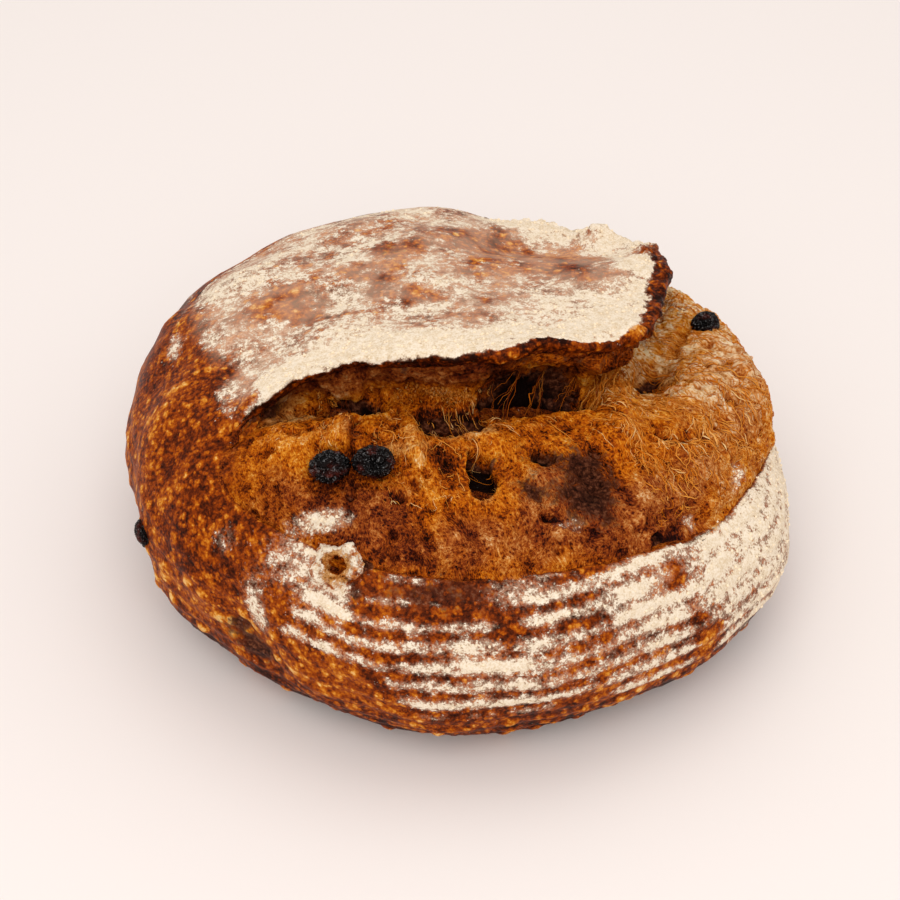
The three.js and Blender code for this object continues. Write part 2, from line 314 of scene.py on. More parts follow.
@dataclass(frozen=True)
class LoafForm:
    """The loaf's form as one sheet, with the part's own sizes in millimetres."""

    outline_radii: tuple[float, ...] = (118, 117, 112, 123, 121, 119, 117, 118, 116, 121, 121, 126)
    widest_height: float = 38
    crown_height: float = 98.5
    fullness: float = 2.36
    foot_share: float = 0.73
    crown_lean: float = -12.5
    crown_tilt: float = -1.3
    crown_centre: Span = (-14, 44)
    centring_shift: Place = (-0.79, -1.26, 0)
    opening: Span = (222.5, 440)
    opening_rise: float = 95
    opening_fall: float = 35
    lip: Knots = (
        (222, 43.5), (227, 37), (233, 32.5), (240, 29), (257, 24.5), (275, 24), (304, 27.5),
        (318, 29), (330, 34), (355, 40.5), (380, 47), (398, 55), (440, 50),
    )
    cut: Knots = (
        (222, 51.5), (231, 54.5), (266, 57.5), (305, 62), (335, 67),
        (357, 77), (371, 79), (384, 74), (412, 58.5), (440, 53.5),
    )
    hem_angle: float = 1.3
    flap_lift: float = 14
    flap_curl: float = 1.7
    flap_reach: float = 1.5
    rim_radius: float = 2
    rim_swell: Swell = Swell(1.2, 372, 24)
    undercut: float = 4
    lip_waves: tuple[tuple[int, float, float], ...] = ((19, 0.45, 0.4), (31, 0.35, 2.1), (47, 0.3, 4.4))
    valley_depth: float = 12
    valley_share: float = 0.42
    crumb_bulge: float = 2.5
    crumb_swell: Swell = Swell(1.5, 360, 24)
    edge_step: float = 1.2
    skin_step: float = 0.5
    skin_waves: tuple[Place, ...] = (
        (84, 20, 10), (61, 95, -25), (47, 160, 40), (38, 250, -5), (29, 310, 30),
    )
    flat_margin: float = 15
    wave_share: float = 0.3
    lip_fray: float = 0.65
    lip_tatter: float = 0.35
    cut_fray: float = 0.8

    def outline(self, angle: Array) -> Array:
        """Plan radius at each angle in radians.

        Args:
            angle: Angles about the loaf's middle in radians.

        Returns:
            The radius at each angle.
        """
        count = len(self.outline_radii)
        radius = np.zeros(np.shape(angle))
        for k, value in enumerate(self.outline_radii):
            away = angle - 2 * math.pi * k / count
            weight = 1 + np.cos(count / 2 * away)
            for j in range(1, count // 2):
                weight = weight + 2 * np.cos(j * away)
            radius = radius + value * weight / count
        return radius

    def dome(self, azimuth: Array, polar: Array) -> tuple[Array, Array]:
        """The closed loaf, before the opening.

        Args:
            azimuth: Angles about the crown in radians.
            polar: Angles down from the crown in radians.

        Returns:
            Points and outward unit normals.
        """
        azimuth, polar = np.broadcast_arrays(azimuth, polar)
        rise = self.crown_height - self.widest_height
        is_upper = polar <= math.pi / 2
        upper = np.clip(polar, 0, math.pi / 2)
        lower = np.clip(polar - math.pi / 2, 0, math.pi / 2)
        below = self.foot_share + (1 - self.foot_share) * np.cos(lower)
        share = np.where(is_upper, np.sin(upper) ** (2 / self.fullness), below)
        pull = np.where(is_upper, np.cos(upper) ** 4, 0)
        radius = self.outline(azimuth)
        x = share * radius * np.cos(azimuth) + self.crown_centre[0] * pull
        y = share * radius * np.sin(azimuth) + self.crown_centre[1] * pull
        away = np.hypot(x, y) + 1e-9
        q = np.minimum(away / self.outline(np.arctan2(y, x)), 1)
        fall = np.maximum(1 - q**self.fullness, 0) ** (1 / self.fullness)
        z = np.where(is_upper, self.widest_height + rise * fall, self.widest_height * (1 - np.sin(lower)))
        out = q ** (self.fullness - 1) / radius
        up = np.where(is_upper, fall / rise, -0.9 * np.sin(lower) / self.widest_height)
        normal = np.stack([out * x / away, out * y / away, up], -1)
        normal /= np.linalg.norm(normal, axis=-1, keepdims=True)
        height = np.maximum((z - self.widest_height) / rise, 0)
        x = x + self.crown_lean * height
        return np.stack([x, y, z + self.crown_tilt * height * x / 100], -1), normal

    def openness(self, degrees: Array) -> Array:
        """How far the opening has opened at each azimuth, from 0 to 1.

        Args:
            degrees: Azimuths about the crown.

        Returns:
            The openness at each azimuth.
        """
        along = np.mod(degrees - self.opening[0], 360)
        span = self.opening[1] - self.opening[0]
        grown = np.minimum(along / self.opening_rise, 1) ** 0.55
        return np.where(along < span, grown * smooth((span - along) / self.opening_fall), 0)

    def fray(self, degrees: Array, size: float, seed: int) -> Array:
        """Ragged wander of an edge round the loaf, about -1 to 1, lumps of a size in mm."""
        ring = np.stack([95 * np.cos(degrees * DEG), 95 * np.sin(degrees * DEG), 0 * degrees], -1)
        return layered_noise(ring, size, seed, 3)

    def lip_angle(self, degrees: Array) -> tuple[Array, Array]:
        """Course and ripple of the flap's lip, in radians from the crown.

        Args:
            degrees: Azimuths about the crown.

        Returns:
            The course, and the ripple to add to it.
        """
        torn = smooth(self.openness(degrees) / 0.35)
        ripple = self.lip_fray * self.fray(degrees, 15, 3) + self.lip_tatter * self.fray(degrees, 4, 5)
        for count, angle, phase in self.lip_waves:
            ripple = ripple + self.wave_share * angle * np.sin(count * degrees * DEG + phase)
        return curve_through(self.lip, degrees) * DEG, ripple * torn * DEG

    def cut_angle(self, degrees: Array) -> Array:
        """Course of the lower crust's edge, in radians from the crown.

        Args:
            degrees: Azimuths about the crown.

        Returns:
            The angle at each azimuth.
        """
        torn = smooth(self.openness(degrees) / 0.35)
        ragged = self.cut_fray * torn * self.fray(degrees, 11, 9)
        return (curve_through(self.cut, degrees) + ragged) * DEG

    def place(self, zone: Array, share: Array, degrees: Array) -> Array:
        """Points of the sheet.

        Args:
            zone: Stretch of the profile at each point.
            share: How far along that stretch, from 0 to 1.
            degrees: Azimuth about the crown.

        Returns:
            Points in the frame of the closed loaf, before centring.
        """
        zone, share, degrees = np.broadcast_arrays(zone, np.asarray(share, float), np.asarray(degrees, float))
        azimuth = degrees * DEG
        course, ripple = self.lip_angle(degrees)
        lip_angle = course + ripple
        cut_angle = self.cut_angle(degrees)
        opened = self.openness(degrees)
        torn = smooth(opened / 0.35)[..., None]
        lift = self.flap_lift * opened[..., None]
        rim = (self.rim_radius + self.rim_swell.at(degrees))[..., None] * torn
        out = np.stack([np.cos(azimuth), np.sin(azimuth), 0 * azimuth], -1)
        up = np.array([0, 0, 1.0])
        hem = self.hem_angle * DEG
        part = share[..., None]
        root = self.dome(azimuth, lip_angle)[0]
        lip = root + lift * up + self.flap_reach * torn * out
        under_lip = lip - 2 * rim * up
        even_lip = self.dome(azimuth, course)[0] + lift * up + self.flap_reach * torn * out - 2 * rim * up
        even_lip = under_lip + smooth(part / 0.22) * (even_lip - under_lip)
        heart, heart_normal = self.dome(azimuth, course)
        valley = heart - self.valley_depth * torn * heart_normal - self.undercut * torn * out
        bend = valley - torn * out
        bend[..., 2] = 0.45 * under_lip[..., 2] + 0.55 * valley[..., 2]
        top = self.dome(azimuth, course * share + ripple * share**6)[0]
        top = top + lift * part**self.flap_curl * up + self.flap_reach * torn * part**6 * out
        shut = self.dome(azimuth, lip_angle + hem * share)[0]
        rounded = lip + rim * np.sin(math.pi * part) * out + rim * (np.cos(math.pi * part) - 1) * up
        rim_points = shut + torn * (rounded - shut)
        shut = self.dome(azimuth, lip_angle + hem * (1 + share))[0]
        under = (1 - part) ** 2 * even_lip + 2 * part * (1 - part) * bend + part**2 * valley
        underside = shut + torn * (under - shut)
        start = course + 2 * hem * (1 - torn[..., 0])
        crumb, normal = self.dome(azimuth, start + (cut_angle - start) * share)
        bulge = (self.crumb_bulge + self.crumb_swell.at(degrees))[..., None] * torn
        rise = bulge * np.sin(math.pi * np.clip((part - 0.15) / 0.85, 0, 1))
        sink = self.valley_depth * torn * (1 - smooth(part / self.valley_share))
        step = self.edge_step * torn * smooth((part - 0.9) / 0.1)
        crumb = crumb + (rise - sink - step) * normal - self.undercut * torn * (1 - part) ** 5 * out
        side = self.dome(azimuth, cut_angle + (math.pi - cut_angle) * share)[0]
        base = self.dome(azimuth, np.full(azimuth.shape, math.pi))[0] * (1 - part)
        choices = [zone[..., None] == kind for kind in Zone]
        return np.select(choices, [top, rim_points, underside, crumb, side, base])

    def body_height(self, points: Array) -> Array:
        """Uneven skin, knobs and hollows over points before centring, in millimetres.

        Args:
            points: Places in millimetres, before centring.

        Returns:
            The height at each point.
        """
        height = np.zeros(points.shape[:-1])
        for index, (length, heading, climb) in enumerate(self.skin_waves):
            turn, rise = heading * DEG, climb * DEG
            way = np.array([math.cos(rise) * math.cos(turn), math.cos(rise) * math.sin(turn), math.sin(rise)])
            height = height + self.skin_step * np.sin(2 * math.pi * (points @ way) / length + 2 * index)
        for feature in RELIEF:
            height = height + feature.height(points)
        return height * smooth(points[..., 2] / self.flat_margin)


@dataclass
class Sheet:
    """A grid of points on the form: rows run down a profile, columns go round."""

    form: LoafForm
    zone: Array
    share: Array
    degrees: Array
    closed: bool

    def __post_init__(self) -> None:
        """Works out how open the loaf is, which rows are roof or crumb, the points and their normals."""
        self.zone = np.asarray(self.zone)[:, None]
        self.share = np.asarray(self.share, float)[:, None]
        self.degrees = np.asarray(self.degrees, float)[None, :]
        bare = self.form.place(self.zone, self.share, self.degrees)
        height = self.form.body_height(bare)
        normals = self.normals_of(bare)
        self.opened = self.form.openness(self.degrees)
        self.roof, self.crumb = self.on(Zone.UNDERSIDE), self.on(Zone.CRUMB)
        lip_angle = sum(self.form.lip_angle(self.degrees))
        lip_normal = self.form.dome(self.degrees * DEG, lip_angle)[1]
        is_flap_edge = self.on(Zone.RIM) | self.roof
        late = np.where(is_flap_edge, smooth((self.degrees - 378) / 14), 0)[..., None]
        way = (1 - late) * normals + late * lip_normal
        self.bare = bare + np.array(self.form.centring_shift)
        self.points = self.bare + height[..., None] * way
        self.normals = self.normals_of(self.points)

    def on(self, kind: Zone) -> Array:
        """Where the sheet runs through one stretch of the profile."""
        return self.zone == kind

    def past(self, degrees: float, over: float) -> Array:
        """Soft step from 0 to 1 beyond an azimuth, over so many degrees."""
        return smooth((self.degrees - degrees) / over)

    def below(self, share: float, over: float) -> Array:
        """Soft step from 0 to 1 further down a stretch than a share of it."""
        return smooth((self.share - share) / over)

    def normals_of(self, points: Array) -> Array:
        """Outward unit normals of a grid of points.

        Args:
            points: A grid of places in the sheet's own rows and columns.

        Returns:
            A unit vector for each.
        """
        down = np.gradient(points, axis=0)
        across = np.gradient(points, axis=1)
        if self.closed:
            across = np.roll(points, -1, 1) - np.roll(points, 1, 1)
        normal = np.cross(down, across)
        return normal / (np.linalg.norm(normal, axis=-1, keepdims=True) + 1e-12)


# Marks on the loaf


@dataclass(frozen=True)
class Spot:
    """A soft round mark about a place, in millimetres."""

    place: Place
    radius: float
    strength: float = 1.0
    squash: Place = (1, 1, 1)

    def at(self, points: Array) -> Array:
        """Strength of the mark at each point."""
        away = (points - np.array(self.place)) / (self.radius * np.array(self.squash))
        return self.strength * np.exp(-((away**2).sum(-1)))


def spots_at(spots: tuple[Spot, ...], points: Array) -> Array:
    """All the marks of one kind added together.

    Args:
        spots: The marks.
        points: Places in millimetres.

    Returns:
        Their sum at each point.
    """
    total = np.zeros(points.shape[:-1])
    for spot in spots:
        total = total + spot.at(points)
    return total


@dataclass(frozen=True)
class LoafMarks:
    """Where flour, burns and paler or darker bakes lie, in millimetres."""

    ring_spacing: float = 7.6
    flap_edge_start: Span = (-104, 31)
    flap_edge_end: Span = (-75, -38)
    bare_spots: tuple[Spot, ...] = (
        Spot((-64, 20, 95), 9, 0.55, (1.3, 0.9, 1)), Spot((-71, 14, 94), 8, 0.5),
        Spot((-58, 10, 96), 6, 0.45), Spot((-36, 34, 97), 8, 0.5, (1.4, 0.8, 1)),
        Spot((-30, 20, 99), 5, 0.45, (0.8, 1.3, 1)), Spot((-39, 7, 100), 7, 0.4, (1.5, 0.5, 1)),
        Spot((-52, 7, 98), 5, 0.5), Spot((-16, 14, 101), 6, 0.5, (1.3, 0.7, 1)),
        Spot((-9, 11, 102), 4, 0.45), Spot((-24, 48, 96), 7, 0.6, (1.3, 1, 1)),
        Spot((-13, 51, 96), 7, 0.5, (1.4, 0.8, 1)), Spot((15, 63, 92), 13, 0.65, (1.7, 0.8, 1)),
        Spot((37, 46, 95), 14, 0.95, (1.5, 0.9, 1)), Spot((58, 30, 98), 5, 0.5, (1.3, 0.8, 1)),
        Spot((47, 38, 97), 7, 0.45, (1.4, 0.7, 1)), Spot((30, 56, 93), 8, 0.5, (1.5, 0.8, 1)),
        Spot((19, 37, 97), 7, 0.35, (1.5, 0.7, 1)), Spot((49, 29, 98), 4, 0.5, (1.4, 0.5, 1)),
        Spot((17, 23, 100), 5, 0.4, (1.3, 0.6, 1)), Spot((61, 9, 101), 3, 0.4),
        Spot((51, 73, 87), 5, 0.7, (1.2, 1, 1)), Spot((61, 62, 89), 5, 0.55, (1.3, 0.8, 1)),
        Spot((69, 53, 91), 6, 0.8), Spot((34, 30, 98), 5, 0.4, (1.5, 0.7, 1)),
        Spot((0, 30, 99), 6, 0.35, (1.5, 0.7, 1)),
    )
    flour_spots: tuple[Spot, ...] = (
        Spot((-101, 8, 81), 4, 0.6, (0.8, 1.6, 1.6)), Spot((-77, -35, 88), 3.5, 0.7),
        Spot((-75, -39, 87), 3, 0.7), Spot((-78, -27, 91), 5, 0.45),
        Spot((-68, -94, 57), 6, 0.45, (0.7, 1, 1.5)), Spot((-66, -97, 49), 5, 0.5, (0.7, 1, 1.3)),
        Spot((-77, -79, 70), 6, 0.25), Spot((-48, -84, 83), 5, 0.6, (1.6, 0.8, 1)),
        Spot((-39, -85, 85), 5, 0.5, (1.6, 0.8, 1)), Spot((-57, -90, 72), 10, 0.3),
        Spot((-47, -99, 68), 9, 0.3), Spot((-39, -104, 70), 8, 0.25),
        Spot((94, -51, 72), 4.5, 0.6, (0.7, 1.8, 1)), Spot((79, -71, 71), 3, 0.6),
        Spot((36, -85, 83), 5, 0.36, (1.5, 0.7, 1)), Spot((5, -116, 52), 9, 0.26, (1.5, 1, 1)),
        Spot((25, -115, 50), 9, 0.22, (1.5, 1, 1)), Spot((60, -98, 58), 10, 0.3, (1.5, 1, 1)),
        Spot((20, -105, 72), 8, 0.4, (1.6, 1, 0.6)),
    )
    lower_bare_spots: tuple[Spot, ...] = (
        Spot((-31, -100, 75), 3, 0.9), Spot((-33, -105, 70), 3, 0.7),
        Spot((-50, -96, 66), 5, 0.4), Spot((-62, -93, 66), 5, 0.45),
        Spot((-58, -98, 57), 4, 0.4), Spot((-30, -106, 66), 5, 0.35),
        Spot((5, -107, 73), 13, 0.65, (1.9, 1, 0.5)), Spot((-30, -99, 75), 7, 0.5),
        Spot((70, -88, 62), 6, 0.5, (1.5, 1, 0.6)), Spot((85, -91, 36), 7, 0.6),
        Spot((79, -93, 46), 5, 0.35), Spot((16, -112, 60), 5, 0.6, (0.7, 1, 1.2)),
    )
    knobs: tuple[Feature, ...] = (
        Feature((58, -12, 104), (61, -9, 104), 3.4, 1.3, 4),
        Feature((70, 6, 101), (71, 8, 100), 3.0, 1.2, 4), Feature((66, 44, 94), (68, 46, 93), 4.0, 1.6, 3),
    )
    sockets: tuple[Spot, ...] = (
        Spot((-39.3, -97.3, 76), 5.5, 5.5),
    )
    burns: tuple[Spot, ...] = (
        Spot((-75, -91, 39), 9, 1.0, (1, 1, 0.9)), Spot((-69, -94, 31), 8, 1.1, (1.2, 1, 0.7)),
        Spot((-5, -106, 73), 12, 0.75, (2.1, 1, 0.45)), Spot((-30.5, -98.5, 75.5), 3, 1.6),
        Spot((-33, -104.5, 70.5), 2.2, 1.4), Spot((45, -67, 88), 10, 0.85, (0.9, 1.3, 1)),
        Spot((31, -62, 90), 10, 0.75, (1.6, 0.9, 1)), Spot((35, -77, 86), 9, 0.75, (1.4, 0.7, 1)),
        Spot((46, -79, 82), 8, 0.65), Spot((22, -76, 89), 4, 0.8),
        Spot((27, -26, 84), 10, 0.9, (1.6, 1, 0.8)), Spot((10, -66, 93), 4, 0.8),
        Spot((-37, -30, 86), 7, 1.0, (1.3, 1, 1)), Spot((-38, -80, 88), 6, 0.55),
        Spot((-33, -55, 93), 5, 0.5, (0.6, 1.6, 1)), Spot((14, -22, 95), 7, 0.45),
        Spot((-24, 48, 96), 6, 0.6), Spot((82, -60, 76), 5, 0.4),
    )
    pale_spots: tuple[Spot, ...] = (
        Spot((-54, -30, 88), 6, 0.25, (1.3, 1, 1)), Spot((-56, -37, 85), 10, 0.8, (1.7, 0.8, 1)),
        Spot((-46, -38, 87), 8, 0.8), Spot((-6, -47, 91), 9, 0.9, (1.6, 0.8, 1)),
        Spot((-5, -58, 94), 7, 0.5), Spot((-58, -50, 86), 12, 0.35),
        Spot((10, -45, 90), 7, 0.6), Spot((8, -79, 89), 4, 1.0),
        Spot((-22, -60, 93), 7, 0.5), Spot((-46, -52, 90), 6, 0.4),
        Spot((-10, -65, 93), 12, 0.3), Spot((80, 13, 76), 9, 0.35),
        Spot((70, -5, 78), 9, 0.5),
    )
    skin_spots: tuple[Spot, ...] = (
        Spot((-36, -82, 87), 13, 1.0, (1.3, 1, 1)), Spot((-60, -72, 80), 8, 0.7),
        Spot((-36, -50, 92), 5, 0.8, (0.6, 1.5, 1)), Spot((-26, -84, 87), 9, 0.6),
        Spot((33, -72, 88), 12, 1.0), Spot((33, -84, 84), 13, 0.9, (1.3, 1, 1)),
        Spot((59, -78, 78), 16, 1.0), Spot((72, -70, 76), 12, 0.8),
        Spot((81, -55, 79), 10, 0.6), Spot((92, -20, 76), 14, 0.6, (0.7, 1.3, 1)),
        Spot((-2, -95, 83), 12, 0.8, (2.2, 0.8, 1)), Spot((100, 5, 74), 12, 0.9),
    )
    orange_spots: tuple[Spot, ...] = (
        Spot((60, -10, 104), 4, 1.6), Spot((85, -91, 36), 6, 0.9),
        Spot((60, -105, 28), 12, 0.5, (2, 1, 0.7)), Spot((-49, -107, 28), 16, 0.35, (1.5, 1, 0.7)),
        Spot((-20, -116, 20), 16, 0.5, (2, 1, 0.7)),
    )

    def ring_wave(self, sheet: Sheet) -> Array:
        """Basket rings: 1 on a ridge that the basket floured, -1 in a groove.

        Args:
            sheet: The grid to mark.

        Returns:
            The wave at each point.
        """
        points = sheet.points
        run = np.linalg.norm(np.diff(points, axis=0), axis=-1)
        along = np.concatenate([np.zeros((1, run.shape[1])), np.cumsum(run, 0)])
        on_side = sheet.on(Zone.SIDE) & (sheet.share > 0.985)
        foot = np.argmax(on_side[:, 0])
        height = along[foot] - along
        wander = 0.8 * gradient_noise(points, 26, 41) + 0.25 * gradient_noise(points, 9, 43)
        return np.cos(2 * math.pi * (height + wander) / self.ring_spacing)

    def flap_side(self, points: Array) -> Array:
        """Millimetres towards the floured side of the flap's left boundary.

        Args:
            points: Places in millimetres.

        Returns:
            The distance at each point.
        """
        start = np.array(self.flap_edge_start)
        along = np.array(self.flap_edge_end) - start
        across = np.array([-along[1], along[0]]) / np.linalg.norm(along)
        return (points[..., :2] - start) @ across

    def flour(self, sheet: Sheet, rings: Array) -> Array:
        """Amount of flour, about 0 to 1, before its grain.

        Args:
            sheet: The grid to mark.
            rings: Basket rings over the same grid.

        Returns:
            The amount at each point.
        """
        points = sheet.points
        patchy = layered_noise(points, 16, 51, 3)
        flecked = layered_noise(points, 5, 57, 2)
        is_top = sheet.on(Zone.TOP) | sheet.on(Zone.RIM)
        opened = smooth(sheet.opened / 0.12)
        near_lip = np.where(sheet.on(Zone.TOP), sheet.below(0.7, 0.2), 1.0) * opened
        over = smooth((self.flap_side(points) + 7 * patchy + 3) / 16)
        top = over * (0.43 + 0.48 * near_lip + 0.42 * patchy + 0.3 * flecked)
        torn_off = layered_noise(points, 4, 59, 2)
        top = top - spots_at(self.bare_spots, sheet.bare) * (0.38 + 0.75 * smooth(0.5 + torn_off))
        edge = 1.01 - 0.07 * sheet.past(330, 25) + 0.02 * flecked + 0.012 * patchy
        reach = 0.3 - 0.4 * sheet.past(270, 40)
        past = np.where(sheet.on(Zone.TOP), smooth((sheet.share - edge) / 0.04), 0.0)
        past = np.where(sheet.on(Zone.RIM), smooth((sheet.share + 0.15 * flecked - reach) / 0.25), past)
        past = np.where(sheet.on(Zone.RIM) & (sheet.degrees > 340), 1.0, past)
        past = past * (1 - sheet.past(388, 10))
        top = top * (1 - past * opened)
        azimuth = np.arctan2(points[..., 1], points[..., 0]) / DEG
        left_edge = -126 + 16 * smooth((60 - points[..., 2]) / 40)
        from_left = np.where(azimuth > left_edge - 25, azimuth - left_edge, 360 + azimuth - left_edge)
        spread = smooth((from_left + 5 * patchy) / 9) * smooth((235 - from_left + 12 * patchy) / 50)
        right = smooth((from_left - 55) / 35)
        foot = 27 + 17 * smooth((-10 - points[..., 0]) / 22) - 6 * smooth((points[..., 0] - 45) / 20)
        low = smooth((points[..., 2] - foot + 5 * patchy) / 9)
        lower = spread * low * (0.29 + 0.36 * right + 0.26 * patchy + 0.28 * flecked)
        lower = lower + spread * low * (0.22 - 0.08 * right) * rings * (1 + 0.9 * patchy)
        lower = lower - spots_at(self.lower_bare_spots, points)
        amount = np.where(is_top, top, 0)
        amount = np.where(sheet.on(Zone.SIDE), lower, amount)
        shut = sheet.past(400, 8) * (sheet.degrees < 445)
        inside = sheet.crumb | sheet.roof
        amount = np.where(inside, shut * (0.5 + 0.3 * patchy), amount)
        back = smooth((azimuth - 60) / 20) * (azimuth > 0)
        amount = np.where(sheet.on(Zone.SIDE), np.maximum(amount, 0.6 * back * top * low), amount)
        return np.clip(amount + spots_at(self.flour_spots, points), -0.5, 1.3)


CRUMB_DETAILS = (
    # hollows that burst bubbles left
    Feature((-66, -37, 90), (-57, -30, 88), 5, -1.5, 3),
    Feature((-48, -29, 85), (-41, -32, 86), 5, -1.8, 3),
    Feature((-39, -27, 85), (-30, -30, 87), 4.5, -4.5, 4),
    Feature((-28, -53, 93), (-26, -56, 94), 4.5, -2.2, 4), Feature((0, -70, 93), (-2, -66, 94), 9, -1.3, 4),
    Feature((7.5, -63, 94), (8, -76, 91), 3.2, -6.5, 4), Feature((-9, -35, 87), (4, -36, 87), 5, -4.5, 4),
    Feature((16, -27, 86), (40, -24, 84), 8, -6, 4), Feature((66, -2, 76), (67, 3, 75), 5, -4, 4),
    Feature((28, -60.5, 92), (28.5, -62, 92), 2.9, -5, 4),
    Feature((43, -66, 88), (44, -70, 88), 3.6, -2.8, 3), Feature((71, 7, 75), (68, -12, 79), 6, -3, 3),
    Feature((75, -5, 79), (76, -9, 79), 3, -2.5, 4), Feature((67, -44, 87), (69, -46, 86.5), 2.2, -3, 3),
    Feature((84, 29, 75), (79, 18, 76), 2.2, -3, 3), Feature((65, -82, 70), (75, -78, 69.5), 2.3, -3.5, 4),
    Feature((-16, -98, 80), (-8, -100, 79), 1.8, -1.6, 3),
    Feature((-42, -68.8, 93.5), (-41, -69, 93.5), 9, -1.3, 6),
    Feature((-27.5, -68.3, 94), (-27, -68.3, 94), 9, -1.3, 6),
    # creases where skins fold together
    Feature((-42, -44, 90), (-46, -60, 93), 1.3, -1.6),
    Feature((-34, -42, 90), (-34.5, -62, 94), 1.4, -2.6),
    Feature((-34, -74, 91), (-36, -86, 86), 1.6, -1.8), Feature((20, -70, 91), (29, -84, 85), 1.7, -2.2),
    Feature((29, -84, 85), (46, -86, 80), 1.5, -1.8), Feature((50, -60, 87), (57, -74, 82), 1.6, -1.6),
    Feature((58, -82, 76), (80, -66, 76), 1.4, -1.4),
    # walls and lumps between them
    Feature((-58, -50, 88), (-52, -62, 91), 8, 1.6, 3),
    Feature((-40, -50, 92), (-41, -54, 93), 4.5, 1.5, 3), Feature((-16, -44, 90), (-13, -65, 95), 1.2, 1.7),
    Feature((-13, -65, 95), (-11, -78, 91), 1.1, 1.5), Feature((-11, -78, 91), (4, -83, 89), 1.1, 1.3),
    Feature((3, -60, 94), (4.2, -77, 91), 0.9, 1.4), Feature((28, -74, 89), (43, -75, 87), 9, 1.9, 3),
    Feature((60, -72, 82), (62, -68, 83), 7, 1.5, 3), Feature((77, -63, 78), (80, -56, 79), 6, 1.3, 3),
    Feature((86, -65, 69.5), (87.5, -63.5, 69.5), 3.2, 2.2, 4),
    Feature((102, 0, 75), (103, 6, 74), 5.5, 1.4, 4), Feature((104, -9, 73), (105, -13, 72), 4.5, 1.4, 4),
    Feature((-39, -22, 88), (-37, -22.5, 88), 5.5, 2.4, 4),
)


# Meshes


def grid_faces(rows: int, columns: int, closed: bool) -> Array:
    """Corner numbers of the quads of a grid, facing outwards.

    Args:
        rows: Rows of the grid.
        columns: Points in each row.
        closed: True where the last column meets the first.

    Returns:
        Four corner numbers a face.
    """
    last = columns if closed else columns - 1
    i, j = np.meshgrid(np.arange(rows - 1), np.arange(last), indexing="ij")
    k = (j + 1) % columns
    quads = [i * columns + j, (i + 1) * columns + j, (i + 1) * columns + k, i * columns + k]
    return np.stack(quads, -1).reshape(-1, 4)


def end_caps(rows: int, columns: int) -> Array:
    """Triangles that close the first and last rows of a closed grid.

    Args:
        rows: Rows of the grid.
        columns: Points in each row.

    Returns:
        Corner numbers; the two middle points come straight after the grid's own.
    """
    ring = np.arange(columns)
    after = (ring + 1) % columns
    count = rows * columns
    last = count - columns
    first_cap = np.stack([np.full(columns, count), ring, after], -1)
    last_cap = np.stack([np.full(columns, count + 1), last + after, last + ring], -1)
    return np.concatenate([first_cap, last_cap])


def make_mesh(name: str, points: Array, quads: Array, triangles: Array, marks: dict[str, Array]) -> Piece:
    """A smooth-shaded mesh object with a number per point for each mark.

    Args:
        name: Name of the object and its mesh.
        points: Corners in millimetres.
        quads: Corner numbers of the four-sided faces.
        triangles: Corner numbers of the three-sided faces.
        marks: Values to store on the points, by attribute name.

    Returns:
        The new object, linked to the scene.
    """
    mesh = bpy.data.meshes.new(name)
    loops = np.concatenate([quads.ravel(), triangles.ravel()]).astype(np.int32)
    starts = np.concatenate([4 * np.arange(len(quads)), 4 * len(quads) + 3 * np.arange(len(triangles))])
    mesh.vertices.add(len(points))
    mesh.vertices.foreach_set("co", (points * MM).astype(np.float32).ravel())
    mesh.loops.add(len(loops))
    mesh.loops.foreach_set("vertex_index", loops)
    mesh.polygons.add(len(starts))
    mesh.polygons.foreach_set("loop_start", starts.astype(np.int32))
    mesh.polygons.foreach_set("use_smooth", np.ones(len(starts), bool))
    mesh.update(calc_edges=True)
    for mark, values in marks.items():
        is_vector = np.ndim(values) == 2
        layer = mesh.attributes.new(mark, "FLOAT_VECTOR" if is_vector else "FLOAT", "POINT")
        layer.data.foreach_set("vector" if is_vector else "value", np.asarray(values, np.float32).ravel())
    mesh.validate()
    piece = bpy.data.objects.new(name, mesh)
    bpy.context.scene.collection.objects.link(piece)
    return piece


def linear(code: str) -> tuple[float, float, float, float]:
    """Turns an sRGB hex colour such as #c08040 to linear red, green, blue and alpha.

    Args:
        code: The hex colour.

    Returns:
        The linear colour.
    """
    parts = [int(code[i : i + 2], 16) / 255 for i in (1, 3, 5)]
    bent = [p / 12.92 if p <= 0.04045 else ((p + 0.055) / 1.055) ** 2.4 for p in parts]
    return (bent[0], bent[1], bent[2], 1.0)


def add_node(tree: Tree, kind: str, settings: dict[str, Value] | None = None,
             inputs: dict[str | int, Value] | None = None) -> bpy.types.Node:
    """Adds a node with its settings and links.

    Args:
        tree: The node tree to add to.
        kind: The node's type name.
        settings: Properties of the node; "stops" sets a colour ramp's places and hex colours.
        inputs: For each input, by name or number, a value or the output that feeds it.

    Returns:
        The new node.
    """
    node = tree.nodes.new(kind)
    for key, value in (settings or {}).items():
        if key == "stops":
            ramp = node.color_ramp
            while len(ramp.elements) < len(value):
                ramp.elements.new(1.0)
            for element, (place, code) in zip(ramp.elements, value):
                element.position = place
                element.color = linear(code)
        else:
            setattr(node, key, value)
    for key, value in (inputs or {}).items():
        if isinstance(value, Socket):
            tree.links.new(value, node.inputs[key])
        else:
            node.inputs[key].default_value = value
    return node


# Finishes


def blank_finish(name: str) -> tuple[Finish, Tree, bpy.types.Node]:
    """A new material with its tree and its shader.

    Args:
        name: Name of the material.

    Returns:
        The three.
    """
    material = bpy.data.materials.new(name)
    material.use_nodes = True
    return material, material.node_tree, material.node_tree.nodes["Principled BSDF"]


Stops = tuple[tuple[float, str], ...]
Parts = list[tuple[Socket, float]]


